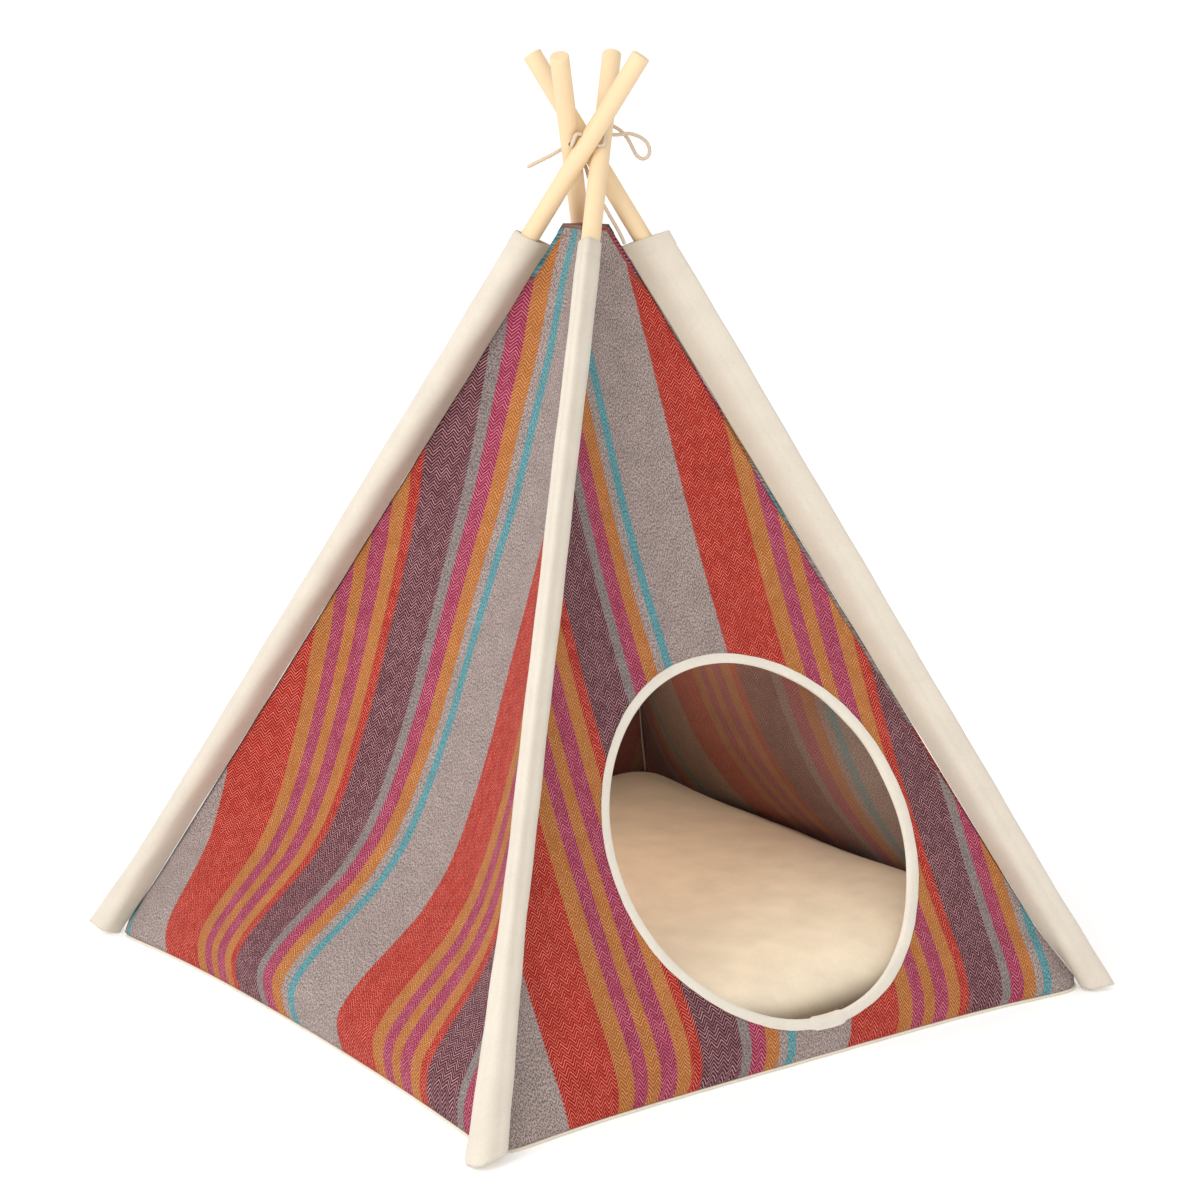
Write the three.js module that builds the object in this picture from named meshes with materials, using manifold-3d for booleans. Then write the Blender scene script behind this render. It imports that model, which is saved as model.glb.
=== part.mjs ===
// Cat tent: a striped cloth cover with a round door, on four crossed wooden poles.
// Millimetres, +Z up. The origin is on the floor at the middle of the tent. The door faces -Y.
import * as THREE from "three";
import Module from "manifold-3d";
import { mergeVertices } from "three/addons/utils/BufferGeometryUtils.js";

const wasm = await Module();
wasm.setup();

// Driving dimensions: poles
const POLE_LENGTH = 914.4;
const POLE_RADIUS = 7.95;
const POLE_SIDES = 20;
const POLE_ROUNDING = 1.6;
const FOOT_RADIUS = 437.6; // from the middle of the tent to each foot
const FOOT_HEIGHT = 6.2; // of the axis at the foot
const CROSS_HEIGHT = 704.6; // where the four poles pass one another
const CROSS_OFFSET = 12.6; // each pole passes this far to the right of the middle
const HOLE_RADIUS = 2.6; // for the cord
const HOLE_PAST_CROSSING = 9.4;
// The front left pole's hole is higher and turned less
const HIGH_HOLE_PAST_CROSSING = 24;
const HIGH_HOLE_TURN = THREE.MathUtils.degToRad(-5);
const HOLE_TURN = THREE.MathUtils.degToRad(-20);
const HOLE_SIDES = 10;

// Driving dimensions: cover
const COVER_HEIGHT = 643;
const BASE_HALF = 298; // half of the cover's side at the floor
const TOP_HALF = 12.5; // half of the square opening at the top
const WALL_FOOT = 5.1; // lower edge of the striped walls
const CLOTH = 1.6; // thickness of the walls
const HEM = 2.4; // thickness of their folded edges at the top
const MITRE_GAP = 0.2; // from each wall to the plane between it and the next

// How far each wall hangs inside the flat plane between its corner seams, by height.
// Below zero it stands outside that plane.
const WALL_SAG = [
  { height: 0, left: 12, front: 12, back: 12, right: 12 },
  { height: 15, left: 6.4, front: 2.4, back: 5, right: 4.5 },
  { height: 30, left: 0.8, front: -5.4, back: -1, right: -2 },
  { height: 45, left: 5.8, front: -6.5, back: 2, right: 1 },
  { height: 60, left: 15.6, front: -4.5, back: 8, right: 6 },
  { height: 80, left: 33.4, front: -0.8, back: 21, right: 16 },
  { height: 100, left: 49.5, front: 2.4, back: 35, right: 29 },
  { height: 130, left: 61.4, front: 5, back: 53, right: 42 },
  { height: 160, left: 64.6, front: 8.8, back: 58, right: 50 },
  { height: 200, left: 64, front: 14.8, back: 58, right: 53 },
  { height: 240, left: 61.3, front: 18.2, back: 56, right: 51 },
  { height: 300, left: 54.2, front: 22, back: 50, right: 46 },
  { height: 360, left: 48.2, front: 22, back: 43, right: 40 },
  { height: 420, left: 43.2, front: 19, back: 38, right: 36 },
  { height: 480, left: 32.7, front: 13, back: 29, right: 27 },
  { height: 540, left: 22.9, front: 7, back: 20, right: 19 },
  { height: 600, left: 9, front: 4, back: 9, right: 8 },
  { height: 643, left: 3, front: 3, back: 3, right: 3 },
];
const WALL_ROWS = [
  WALL_FOOT, 14, 24, 35, 47, 60, 76, 95, 122, 160, 215, 285, 360, 440, 520, 590, 632, COVER_HEIGHT,
];
const WALL_COLUMNS = 12;

// Driving dimensions: door, on the front wall's cloth laid flat from its lower edge
const DOOR_RIGHT = 21.3; // its middle, right of the wall's middle
const DOOR_UP = 181.7; // its middle, up the cloth
const DOOR_RADIUS = 147.6; // of the cut edge
const DOOR_STRETCH = { cos2: -3, sin2: -3.3, cos3: -0.8 }; // how the hanging cloth pulls it out of round
const DOOR_SIDES = 48;
const DOOR_STEPS = [0.16, 0.33, 0.52, 0.74, 1]; // the further rings, to the wall's edges
const BINDING_WIDTH = 8; // also of the first ring of the cloth around the door
const BINDING_TAPE = 0.95;
const SEAT = 0.3; // gap between pieces that touch

// Driving dimensions: sleeves
const SLEEVE_CLOTH = 1.1;
const SLEEVE_EASE = 0.9; // between the pole and the cloth round it
const SLEEVE_TOP_INNER = 625; // height of the open end beside the wall
const SLEEVE_TOP_OUTER = 638; // and beside the pole
const SLEEVE_STATIONS = [0, 0.012, 0.05, 0.13, 0.25, 0.4, 0.55, 0.7, 0.85, 1];
const SLEEVE_SEAM_GAP = 0.5; // from the walls' corner
const SLEEVE_FLOOR = 1.5;
const SLEEVE_FIN = 1.8; // half thickness where the two layers are sewn together
const SLEEVE_INNER_SHARES = [1, 0.92, 0.72, 0.5, 0.3, 0.14];
const SLEEVE_OUTER_SHARES = [0.2, 0.42, 0.65, 0.86, 0.97];
// How far each sleeve reaches outside its pole's axis, at the foot, low down and at the top,
// and how much it opens sideways at the foot.
const SLEEVES = [
  { corner: "front_left", x: -1, y: -1, foot: 17, low: 15, top: 14, opening: 5.5 },
  { corner: "front_right", x: 1, y: -1, foot: 20, low: 18.5, top: 21.5, opening: 2 },
  { corner: "back_right", x: 1, y: 1, foot: 18, low: 15, top: 14, opening: 3 },
  { corner: "back_left", x: -1, y: 1, foot: 16, low: 12.2, top: 11.6, opening: 2 },
];

// Driving dimensions: floor
const BASE_OUTSIDE = 1.2; // of the wall's own plane
const BASE_CLOTH = 1.8;
const BASE_RIM_HEIGHT = 4.8;
const BASE_RIM_WIDTH = 3;
const BASE_CORNER = 14;
const BASE_EDGE_STEPS = 8;
const BASE_CORNER_STEPS = 3;
const CUSHION_HALF = 279; // at its corners
const CUSHION_DRAW = 8; // how far its sides pull in between them
const CUSHION_CORNER = 34;
const CUSHION_EDGE = 70; // height of its shoulder
const CUSHION_CROWN = 76;
const CUSHION_SQUARE = 9; // the higher, the squarer its sides
const CUSHION_FULLER = [0.14, 0.02]; // how much thicker it is to the right and to the back
const CUSHION_RINGS = [0.35, 0.6, 0.78, 0.89, 0.96, 1];

// Driving dimensions: cord
const CORD_DIAMETER = 3.2;
const CORD_SIDES = 8;
const CORD_STEPS = 80;
// From the end sewn to the cover's top, up behind the poles, through each pole's hole in turn,
// round the slack loop and out to the free end
const CORD_ROUTE = [
  // sewn end and the way up
  [23.2, -23.2, 626.5], [21, -20.5, 634], [17.5, -14.5, 645], [13.5, -6.5, 658], [10.5, 1.5, 670],
  [8.8, 8, 680], [9.4, 13.8, 689], [6.5, 21, 698], [1, 26, 706], [-4.5, 26, 714],
  // back right pole
  [-8.3, 22, 719.6], [-8.7, 15.3, 718.6], [-12.5, 5.5, 712.6], [-15.6, -2, 708],
  [-18.3, -5.4, 708.1], [-18, -8.1, 712.6], [-16.4, -9.1, 716.8],
  // back left pole
  [-13.2, -9.5, 717.3], [-5.5, -12.5, 712.6], [2, -15.4, 708],
  [4.9, -17.6, 708.3], [6.7, -17.4, 712.4], [8, -15.7, 718], [9.3, -13.4, 723.6], [10.5, -11, 728],
  // front left pole
  [11.6, -8.6, 730.4], [13.3, -6.3, 729.9], [18.2, -0.2, 724.9], [22.8, 5.2, 720.4],
  // slack loop
  [25.4, 6.2, 717.6], [29.4, 3.6, 715], [34.8, 0, 715], [41, -3.5, 715.8],
  [48.5, -8.5, 713.2], [53.5, -12, 708.5], [55.5, -13.5, 702.5], [54.2, -13, 697], [50.5, -10.5, 695],
  [47, -7.5, 697.5], [44.5, -4.5, 704], [42, -0.8, 711.5], [38, 5, 718.5], [31.5, 10.5, 722.6],
  // front right pole and the free end
  [24.5, 11, 723.4], [18.8, 8.6, 720.8], [5.5, 12.5, 712.6], [-1.9, 16.2, 707.9], [-5.4, 19.9, 705.7],
  [-10.5, 21.8, 702.8], [-17, 24.2, 699], [-26, 28, 694.3], [-36.4, 32.2, 689],
];

const material = (name, colour, roughness) => {
  const made = new THREE.MeshStandardMaterial({ color: colour, roughness, metalness: 0 });
  made.name = name;
  return made;
};
const wood = material("pine", 0xf3d9ad, 0.55);
const striped = material("striped cloth", 0x9c6f6c, 0.95);
const canvas = material("cream canvas", 0xe9dfce, 0.95);
const filled = material("cushion cover", 0xece3d3, 0.95);
const cotton = material("cotton cord", 0xd9ccb6, 0.95);

const tent = new THREE.Group();
const UP = new THREE.Vector3(0, 0, 1);
const vec = (x, y, z) => new THREE.Vector3(x, y, z);
const mix = THREE.MathUtils.lerp;
const clamp = THREE.MathUtils.clamp;

function addNode(name, geometry, finish) {
  const mesh = new THREE.Mesh(geometry, finish);
  mesh.name = name;
  tent.add(mesh);
}

// Closed solids from grids of points

function indexedGeometry(points, faces) {
  const geometry = new THREE.BufferGeometry();
  const flat = points.flatMap((p) => [p.x, p.y, p.z]);
  geometry.setAttribute("position", new THREE.Float32BufferAttribute(flat, 3));
  geometry.setIndex(outwardFaces(points, faces));
  return geometry;
}

function outwardFaces(points, faces) {
  let volume = 0;
  for (const [a, b, c] of faces)
    volume += points[a].dot(vec().crossVectors(points[b], points[c]));
  return faces.flatMap(([a, b, c]) => (volume < 0 ? [a, c, b] : [a, b, c]));
}

// A skin is rows of points, all rows alike. Two skins of one cloth become a closed sheet.
// With round set, each row is a closed loop; the rows' ends are open edges otherwise.
function sheetSolid(front, back, round, floor = false) {
  const rows = front.length;
  const columns = front[0].length;
  const points = [...front.flat(), ...back.flat()];
  const at = (side, row, column) => (side * rows + row) * columns + (column % columns);
  const faces = [];
  const quad = (a, b, c, d) => faces.push([a, b, c], [a, c, d]);
  const spans = round ? columns : columns - 1;
  for (let i = 0; i < rows - 1; i++)
    for (let j = 0; j < spans; j++) {
      quad(at(0, i, j), at(0, i, j + 1), at(0, i + 1, j + 1), at(0, i + 1, j));
      quad(at(1, i, j), at(1, i + 1, j), at(1, i + 1, j + 1), at(1, i, j + 1));
    }
  for (let j = 0; j < spans; j++) {
    quad(at(0, rows - 1, j), at(0, rows - 1, j + 1), at(1, rows - 1, j + 1), at(1, rows - 1, j));
    if (!floor) quad(at(0, 0, j + 1), at(0, 0, j), at(1, 0, j), at(1, 0, j + 1));
  }
  if (!round)
    for (let i = 0; i < rows - 1; i++) {
      const last = columns - 1;
      quad(at(0, i, 0), at(0, i + 1, 0), at(1, i + 1, 0), at(1, i, 0));
      quad(at(0, i + 1, last), at(0, i, last), at(1, i, last), at(1, i + 1, last));
    }
  if (floor)
    for (const [side, ring] of [[0, front[0]], [1, back[0]]]) {
      const middle = ring.reduce((sum, p) => sum.add(p), vec()).divideScalar(columns);
      points.push(middle);
      const hub = points.length - 1;
      for (let j = 0; j < columns; j++) {
        const edge = [at(side, 0, j), at(side, 0, j + 1)];
        faces.push(side ? [hub, ...edge] : [hub, edge[1], edge[0]]);
      }
    }
  return indexedGeometry(points, faces);
}

// Loops of points, one inside the next, with a middle point at each end
function stackSolid(loops, firstMiddle, lastMiddle) {
  const columns = loops[0].length;
  const points = loops.flat();
  const faces = [];
  for (let i = 0; i < loops.length - 1; i++)
    for (let j = 0; j < columns; j++) {
      const k = (j + 1) % columns;
      const [a, b] = [i * columns + j, i * columns + k];
      faces.push([a, b, b + columns], [a, b + columns, a + columns]);
    }
  points.push(firstMiddle, lastMiddle);
  const top = (loops.length - 1) * columns;
  for (let j = 0; j < columns; j++) {
    const k = (j + 1) % columns;
    faces.push([points.length - 2, k, j], [points.length - 1, top + j, top + k]);
  }
  return indexedGeometry(points, faces);
}

function toSolid(geometry) {
  const bare = geometry.clone();
  bare.deleteAttribute("normal");
  bare.deleteAttribute("uv");
  const merged = mergeVertices(bare, 1e-3);
  return new wasm.Manifold(
    new wasm.Mesh({
      numProp: 3,
      vertProperties: merged.attributes.position.array,
      triVerts: new Uint32Array(merged.index.array),
    }),
  );
}

function toGeometry(solid) {
  const mesh = solid.getMesh();
  const geometry = new THREE.BufferGeometry();
  geometry.setAttribute("position", new THREE.BufferAttribute(mesh.vertProperties.slice(), 3));
  geometry.setIndex(new THREE.BufferAttribute(mesh.triVerts.slice(), 1));
  return geometry;
}

// Poles

// A corner has its outward direction, its pole's foot, run and side, all worked out from its signs.
function cornerFrame(x, y) {
  const outward = vec(x, y, 0).normalize();
  const inward = outward.clone().negate();
  const right = vec().crossVectors(inward, UP);
  const foot = outward.clone().multiplyScalar(FOOT_RADIUS).setZ(FOOT_HEIGHT);
  const crossing = right.clone().multiplyScalar(CROSS_OFFSET).setZ(CROSS_HEIGHT);
  const run = crossing.clone().sub(foot).normalize();
  return { outward, right, foot, crossing, run };
}

// The hole for the cord: its middle, and the way in which the cord runs through it
function cordHole(frame) {
  const high = frame.outward.x < 0 && frame.outward.y < 0;
  const past = high ? HIGH_HOLE_PAST_CROSSING : HOLE_PAST_CROSSING;
  const middle = frame.crossing.clone().addScaledVector(frame.run, past);
  const side = frame.right.clone();
  side.addScaledVector(frame.run, -side.dot(frame.run)).normalize();
  const down = vec().crossVectors(side, frame.run);
  if (down.z > 0) down.negate();
  const turn = high ? HIGH_HOLE_TURN : HOLE_TURN;
  const along = down.multiplyScalar(Math.cos(turn));
  along.addScaledVector(side, Math.sin(turn));
  return { middle, along };
}

function poleGeometry(frame) {
  const r = POLE_RADIUS;
  const c = POLE_ROUNDING;
  const profile = [
    [0, 0],
    [r - c, 0],
    [r - 0.3 * c, 0.3 * c],
    [r, c],
    [r, POLE_LENGTH - c],
    [r - 0.3 * c, POLE_LENGTH - 0.3 * c],
    [r - c, POLE_LENGTH],
    [0, POLE_LENGTH],
  ].map(([x, y]) => new THREE.Vector2(x, y));
  const dowel = new THREE.LatheGeometry(profile, POLE_SIDES);
  const turn = new THREE.Quaternion().setFromUnitVectors(vec(0, 1, 0), frame.run);
  dowel.applyQuaternion(turn).translate(...frame.foot.toArray());
  const { middle, along } = cordHole(frame);
  const drill = new THREE.CylinderGeometry(HOLE_RADIUS, HOLE_RADIUS, 4 * POLE_RADIUS, HOLE_SIDES);
  drill.applyQuaternion(new THREE.Quaternion().setFromUnitVectors(vec(0, 1, 0), along));
  drill.translate(...middle.toArray());
  return toGeometry(toSolid(dowel).subtract(toSolid(drill)));
}

// Walls

const halfWidth = (z) => mix(BASE_HALF, TOP_HALF, z / COVER_HEIGHT);

function sagAt(wall, z) {
  const last = WALL_SAG.length - 2;
  let i = WALL_SAG.findIndex((row) => row.height > z) - 1;
  i = i < 0 ? last : i;
  const [a, b] = [WALL_SAG[i], WALL_SAG[i + 1]];
  return mix(a[wall], b[wall], (z - a.height) / (b.height - a.height));
}

// The middle of the cloth: u runs to the right along the wall, out is the distance from the
// middle of the tent.
function wallOut(wall, u, z) {
  const half = halfWidth(z);
  const share = clamp(u / half, -1, 1);
  return half - sagAt(wall, z) * (1 - share * share);
}

// A point of one face of the cloth, at the share s of the way to the side edges
function wallPoint(wall, s, z, offset) {
  const slope = (f, h) => (f(h) - f(-h)) / (2 * h);
  const place = (u) => {
    const du = slope((h) => wallOut(wall, u + h, z), 0.5);
    const dz = slope((h) => wallOut(wall, u, clamp(z + h, 0, COVER_HEIGHT)), 0.5);
    const normal = vec(-du, 1, -dz).normalize();
    const level = normal.clone().setZ(0);
    // moved level, so that each row keeps its height and the cloth its thickness
    return vec(u, wallOut(wall, u, z), z).addScaledVector(level, offset / level.lengthSq());
  };
  // the side edge is where the face meets the mitre plane
  let low = 0;
  let high = halfWidth(z) * 1.2;
  for (let i = 0; i < 40; i++) {
    const tried = (low + high) / 2;
    const p = place(tried);
    if (p.x > p.y - MITRE_GAP * Math.SQRT2) high = tried;
    else low = tried;
  }
  return place(s * low);
}

const clothHalf = (z) => (z > COVER_HEIGHT - 8 ? HEM : CLOTH) / 2;
const WALL_TURNS = { front: 0, right: 1, back: 2, left: 3 };

function turnToWall(wall, p) {
  return vec(p.x, -p.y, p.z).applyAxisAngle(UP, (WALL_TURNS[wall] * Math.PI) / 2);
}

function plainWall(wall) {
  const skin = (sign) =>
    WALL_ROWS.map((z) =>
      Array.from({ length: WALL_COLUMNS + 1 }, (_, j) => {
        const s = (2 * j) / WALL_COLUMNS - 1;
        return turnToWall(wall, wallPoint(wall, s, z, sign * clothHalf(z)));
      }),
    );
  return sheetSolid(skin(1), skin(-1), false);
}

// Length of the front cloth up from its lower edge, along its middle
const CLOTH_STEP = 1;
const clothLengths = [{ z: 0, length: 0 }];
for (let z = CLOTH_STEP; z <= COVER_HEIGHT; z += CLOTH_STEP) {
  const rise = wallOut("front", 0, z) - wallOut("front", 0, z - CLOTH_STEP);
  const before = clothLengths[clothLengths.length - 1].length;
  clothLengths.push({ z, length: before + Math.hypot(rise, CLOTH_STEP) });
}
const lengthAt = (z) => {
  const i = clamp(Math.floor(z / CLOTH_STEP), 0, clothLengths.length - 2);
  const [a, b] = [clothLengths[i], clothLengths[i + 1]];
  return mix(a.length, b.length, (z - a.z) / CLOTH_STEP);
};
const heightAt = (length) => {
  let i = clothLengths.findIndex((row) => row.length > length) - 1;
  i = i < 0 ? clothLengths.length - 2 : i;
  const [a, b] = [clothLengths[i], clothLengths[i + 1]];
  return mix(a.z, b.z, (length - a.length) / (b.length - a.length));
};

function doorEdge(angle, widened) {
  const pulled =
    DOOR_STRETCH.cos2 * Math.cos(2 * angle) +
    DOOR_STRETCH.sin2 * Math.sin(2 * angle) +
    DOOR_STRETCH.cos3 * Math.cos(3 * angle);
  const radius = DOOR_RADIUS + pulled + widened;
  return new THREE.Vector2(
    DOOR_RIGHT + radius * Math.cos(angle),
    DOOR_UP + radius * Math.sin(angle),
  );
}

// Where the ray from the door's middle leaves the wall's cloth, as the wall's flat outline
function wallOutline() {
  const foot = lengthAt(WALL_FOOT);
  const top = lengthAt(COVER_HEIGHT);
  return [
    new THREE.Vector2(-halfWidth(WALL_FOOT), foot),
    new THREE.Vector2(halfWidth(WALL_FOOT), foot),
    new THREE.Vector2(TOP_HALF, top),
    new THREE.Vector2(-TOP_HALF, top),
  ];
}

function rayToOutline(angle) {
  const outline = wallOutline();
  const from = new THREE.Vector2(DOOR_RIGHT, DOOR_UP);
  const along = new THREE.Vector2(Math.cos(angle), Math.sin(angle));
  let nearest = Infinity;
  outline.forEach((a, i) => {
    const side = outline[(i + 1) % outline.length].clone().sub(a);
    const cross = along.cross(side);
    const gap = a.clone().sub(from);
    const distance = gap.cross(side) / cross;
    const share = gap.cross(along) / cross;
    if (distance > 0 && share > -1e-9 && share < 1 + 1e-9) nearest = Math.min(nearest, distance);
  });
  return from.addScaledVector(along, nearest);
}

// The door's directions: evenly spaced, with one moved on to each of the cloth's corners
function doorAngles() {
  const step = (2 * Math.PI) / DOOR_SIDES;
  const angles = Array.from({ length: DOOR_SIDES }, (_, i) => i * step);
  const taken = new Set();
  for (const corner of wallOutline()) {
    let angle = Math.atan2(corner.y - DOOR_UP, corner.x - DOOR_RIGHT);
    if (angle < 0) angle += 2 * Math.PI;
    const order = angles.map((a, i) => i).filter((i) => !taken.has(i));
    const away = (i) => Math.abs(i * step - angle);
    const nearest = order.reduce((best, i) => (away(i) < away(best) ? i : best));
    angles[nearest] = angle;
    taken.add(nearest);
  }
  return angles.sort((a, b) => a - b);
}

// A point of the front cloth from its flat place
function frontPoint(flat, offset) {
  const z = clamp(heightAt(flat.y), WALL_FOOT, COVER_HEIGHT);
  const s = clamp(flat.x / halfWidth(z), -1, 1);
  return turnToWall("front", wallPoint("front", s, z, offset));
}

const DOOR_ANGLES = doorAngles();

function doorWall() {
  const rings = [
    (angle) => doorEdge(angle, 0),
    (angle) => doorEdge(angle, BINDING_WIDTH),
    ...DOOR_STEPS.map((share) => (angle) => {
      const edge = rayToOutline(angle);
      return doorEdge(angle, BINDING_WIDTH).lerp(edge, share);
    }),
  ];
  const skin = (sign) =>
    rings.map((ring) =>
      DOOR_ANGLES.map((angle) => {
        const flat = ring(angle);
        return frontPoint(flat, sign * clothHalf(heightAt(flat.y)));
      }),
    );
  return sheetSolid(skin(1), skin(-1), true);
}

// The tape folded over the door's edge: a channel whose two arms lie along the cloth
function bindingGeometry() {
  const inner = CLOTH / 2 + SEAT;
  const outer = inner + BINDING_TAPE;
  const channel = [
    [BINDING_WIDTH, outer],
    [-SEAT - BINDING_TAPE, outer],
    [-SEAT - BINDING_TAPE, -outer],
    [BINDING_WIDTH, -outer],
    [BINDING_WIDTH, -inner],
    [-SEAT, -inner],
    [-SEAT, inner],
    [BINDING_WIDTH, inner],
  ];
  // each point is carried by the straight run of the cloth's face beside the edge
  const beside = (angle, across, through) => {
    const edge = frontPoint(doorEdge(angle, 0), through);
    return edge.lerp(frontPoint(doorEdge(angle, BINDING_WIDTH), through), across / BINDING_WIDTH);
  };
  const loops = channel.map(([across, through]) =>
    DOOR_ANGLES.map((angle) => beside(angle, across, through)),
  );
  const columns = DOOR_ANGLES.length;
  const points = loops.flat();
  const faces = [];
  loops.forEach((_, i) => {
    const next = (i + 1) % loops.length;
    for (let j = 0; j < columns; j++) {
      const k = (j + 1) % columns;
      const [a, b] = [i * columns + j, i * columns + k];
      const [c, d] = [next * columns + k, next * columns + j];
      // split as the cloth beside it is split
      const away = channel[next][0] >= channel[i][0];
      faces.push(...(away ? [[a, b, c], [a, c, d]] : [[a, b, d], [b, c, d]]));
    }
  });
  return indexedGeometry(points, faces);
}

// Sleeves

// How far the walls' corner reaches out from the middle, at a height
function cornerReach(z) {
  const at = clamp(z, WALL_FOOT, COVER_HEIGHT);
  const reaches = Object.keys(WALL_TURNS).map((wall) => {
    const p = wallPoint(wall, 1, at, clothHalf(at));
    return Math.hypot(p.x, p.y);
  });
  const below = (halfWidth(z) - halfWidth(at)) * Math.SQRT2;
  return Math.max(...reaches) + below;
}

function sleeveReach(row, share) {
  const [low, high] = [0.13, 1];
  if (share < low) return mix(row.foot, row.low, share / low);
  return mix(row.low, row.top, (share - low) / (high - low));
}

function sleeveSkin(row, frame, inset) {
  const rise = CROSS_HEIGHT - FOOT_HEIGHT;
  const lean = Math.atan2(FOOT_RADIUS, rise);
  const bulge = POLE_RADIUS + SLEEVE_EASE + SLEEVE_CLOTH;
  return SLEEVE_STATIONS.map((share, station) => {
    const innerZ = mix(0, SLEEVE_TOP_INNER, share);
    const outerZ = mix(0, SLEEVE_TOP_OUTER, share);
    const end = sleeveReach(row, share);
    const seam = cornerReach(innerZ) + SLEEVE_SEAM_GAP;
    // where the slanting section meets the pole's axis
    let axisZ = innerZ;
    let axis = seam;
    for (let i = 0; i < 8; i++) {
      axis = (FOOT_RADIUS * (CROSS_HEIGHT - axisZ)) / rise;
      axisZ = mix(innerZ, outerZ, (axis - seam) / (axis + end - seam));
    }
    const aside = (CROSS_OFFSET * (axisZ - FOOT_HEIGHT)) / rise;
    // the seam lies beside the pole as well as inside it, so the section turns about the pole
    const start = -Math.hypot(seam - axis, aside);
    const turned = Math.atan2(aside, axis - seam);
    const slope = (outerZ - innerZ) / (axis + end - seam);
    const stretch = 1 / (Math.cos(lean) + slope * Math.sin(lean));
    const opened = row.opening * clamp(1 - share / 0.25, 0, 1);
    const tuck = station === 0 ? 0.86 : 1;
    const halfAt = (x) => {
      const round = bulge * Math.sqrt(Math.max(0, 1 - (x / (bulge * stretch)) ** 2));
      let loose;
      if (x < 0) {
        const way = clamp((x - start) / -start, 0, 1);
        loose = SLEEVE_FIN + (bulge - SLEEVE_FIN) * Math.sin((Math.PI / 2) * way ** 1.3);
      } else {
        const way = x / end;
        const lip = SLEEVE_FIN + 0.6 + (bulge - SLEEVE_FIN - 0.6) * (1 - way);
        loose = lip * Math.sqrt(1 - way ** 12);
      }
      const spread = opened * Math.sqrt(Math.max(0, 1 - (x / (x < 0 ? start : end)) ** 2));
      return (Math.max(round, loose) + spread) * tuck;
    };
    const xs = [
      ...SLEEVE_INNER_SHARES.map((part) => part * start),
      0,
      ...SLEEVE_OUTER_SHARES.map((part) => part * end),
    ];
    const side = xs.map((x) => [x, halfAt(x) - inset]);
    const loop = [...side, [end, 0], ...side.map(([x, half]) => [x, -half]).reverse()];
    return loop.map(([x, half]) => {
      const moved = clamp(x, start + 1.25 * inset, end - 1.25 * inset);
      const angle = turned * clamp(0.5 - x / (2 * bulge), 0, 1);
      const out = moved * Math.cos(angle) - half * Math.sin(angle);
      const across = moved * Math.sin(angle) + half * Math.cos(angle);
      const along = clamp((axis + out - seam) / (axis + end - seam), 0, 1);
      const floor = station === 0 ? SLEEVE_FLOOR : SLEEVE_FLOOR + 0.5 * station;
      const z = Math.max(mix(innerZ, outerZ, along), inset ? floor : 0);
      const p = frame.outward.clone().multiplyScalar(axis + out);
      return p.addScaledVector(frame.right, aside + across).setZ(z);
    });
  });
}

// Floor: the loop of a square with round corners and sides drawn in between them

function floorLoop(half, corner, drawn) {
  const loop = [];
  for (let side = 0; side < 4; side++) {
    const straight = half - corner;
    const put = (u, out) => loop.push(vec(u, -out, 0).applyAxisAngle(UP, (side * Math.PI) / 2));
    for (let i = 0; i <= BASE_EDGE_STEPS; i++) {
      const u = mix(-straight, straight, i / BASE_EDGE_STEPS);
      put(u, half - drawn(u / half));
    }
    for (let i = 1; i < BASE_CORNER_STEPS; i++) {
      const angle = ((i / BASE_CORNER_STEPS) * Math.PI) / 2;
      const sunk = drawn(straight / half) * Math.cos(angle);
      const sunkNext = drawn(straight / half) * Math.sin(angle);
      put(
        straight + corner * Math.sin(angle) - sunkNext,
        straight + corner * Math.cos(angle) - sunk,
      );
    }
  }
  return loop;
}

function baseGeometry() {
  const bow = (share) => sagAt("left", WALL_FOOT) * (1 - share * share);
  const outside = floorLoop(BASE_HALF + BASE_OUTSIDE, BASE_CORNER, bow);
  const inside = floorLoop(
    BASE_HALF + BASE_OUTSIDE - BASE_RIM_WIDTH,
    BASE_CORNER - BASE_RIM_WIDTH,
    bow,
  );
  const lifted = (loop, z) => loop.map((p) => p.clone().setZ(z));
  return stackSolid(
    [
      lifted(outside, 0),
      lifted(outside, BASE_RIM_HEIGHT),
      lifted(inside, BASE_RIM_HEIGHT),
      lifted(inside, BASE_CLOTH),
    ],
    vec(0, 0, 0),
    vec(0, 0, BASE_CLOTH),
  );
}

function cushionGeometry() {
  const rest = BASE_CLOTH + SEAT;
  const draw = (share) => CUSHION_DRAW * (1 - share * share);
  const rim = floorLoop(CUSHION_HALF, CUSHION_CORNER, draw);
  const seam = mix(rest, CUSHION_EDGE, 0.5);
  const round = (ring) => Math.sqrt(Math.max(0, 1 - ring ** CUSHION_SQUARE));
  const fuller = (x, y) =>
    1 + (CUSHION_FULLER[0] * x + CUSHION_FULLER[1] * y) / CUSHION_HALF;
  const ringAt = (ring, z) =>
    rim.map((p) => {
      const [x, y] = [p.x * ring, p.y * ring];
      return vec(x, y, rest + (z - rest) * fuller(x, y));
    });
  const crown = (ring) => (CUSHION_CROWN - CUSHION_EDGE) * Math.cos((ring * Math.PI) / 2);
  const top = CUSHION_RINGS.map((ring) =>
    ringAt(ring, seam + (CUSHION_EDGE - seam) * round(ring) + crown(ring)),
  );
  const bottom = CUSHION_RINGS.slice(0, -1).map((ring) => {
    const flat = ring < 0.9;
    return ringAt(ring, flat ? rest : seam - (seam - rest) * round(ring));
  });
  return stackSolid([...bottom, ...top.reverse()], vec(0, 0, rest), vec(0, 0, CUSHION_CROWN));
}

// Cord

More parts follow.
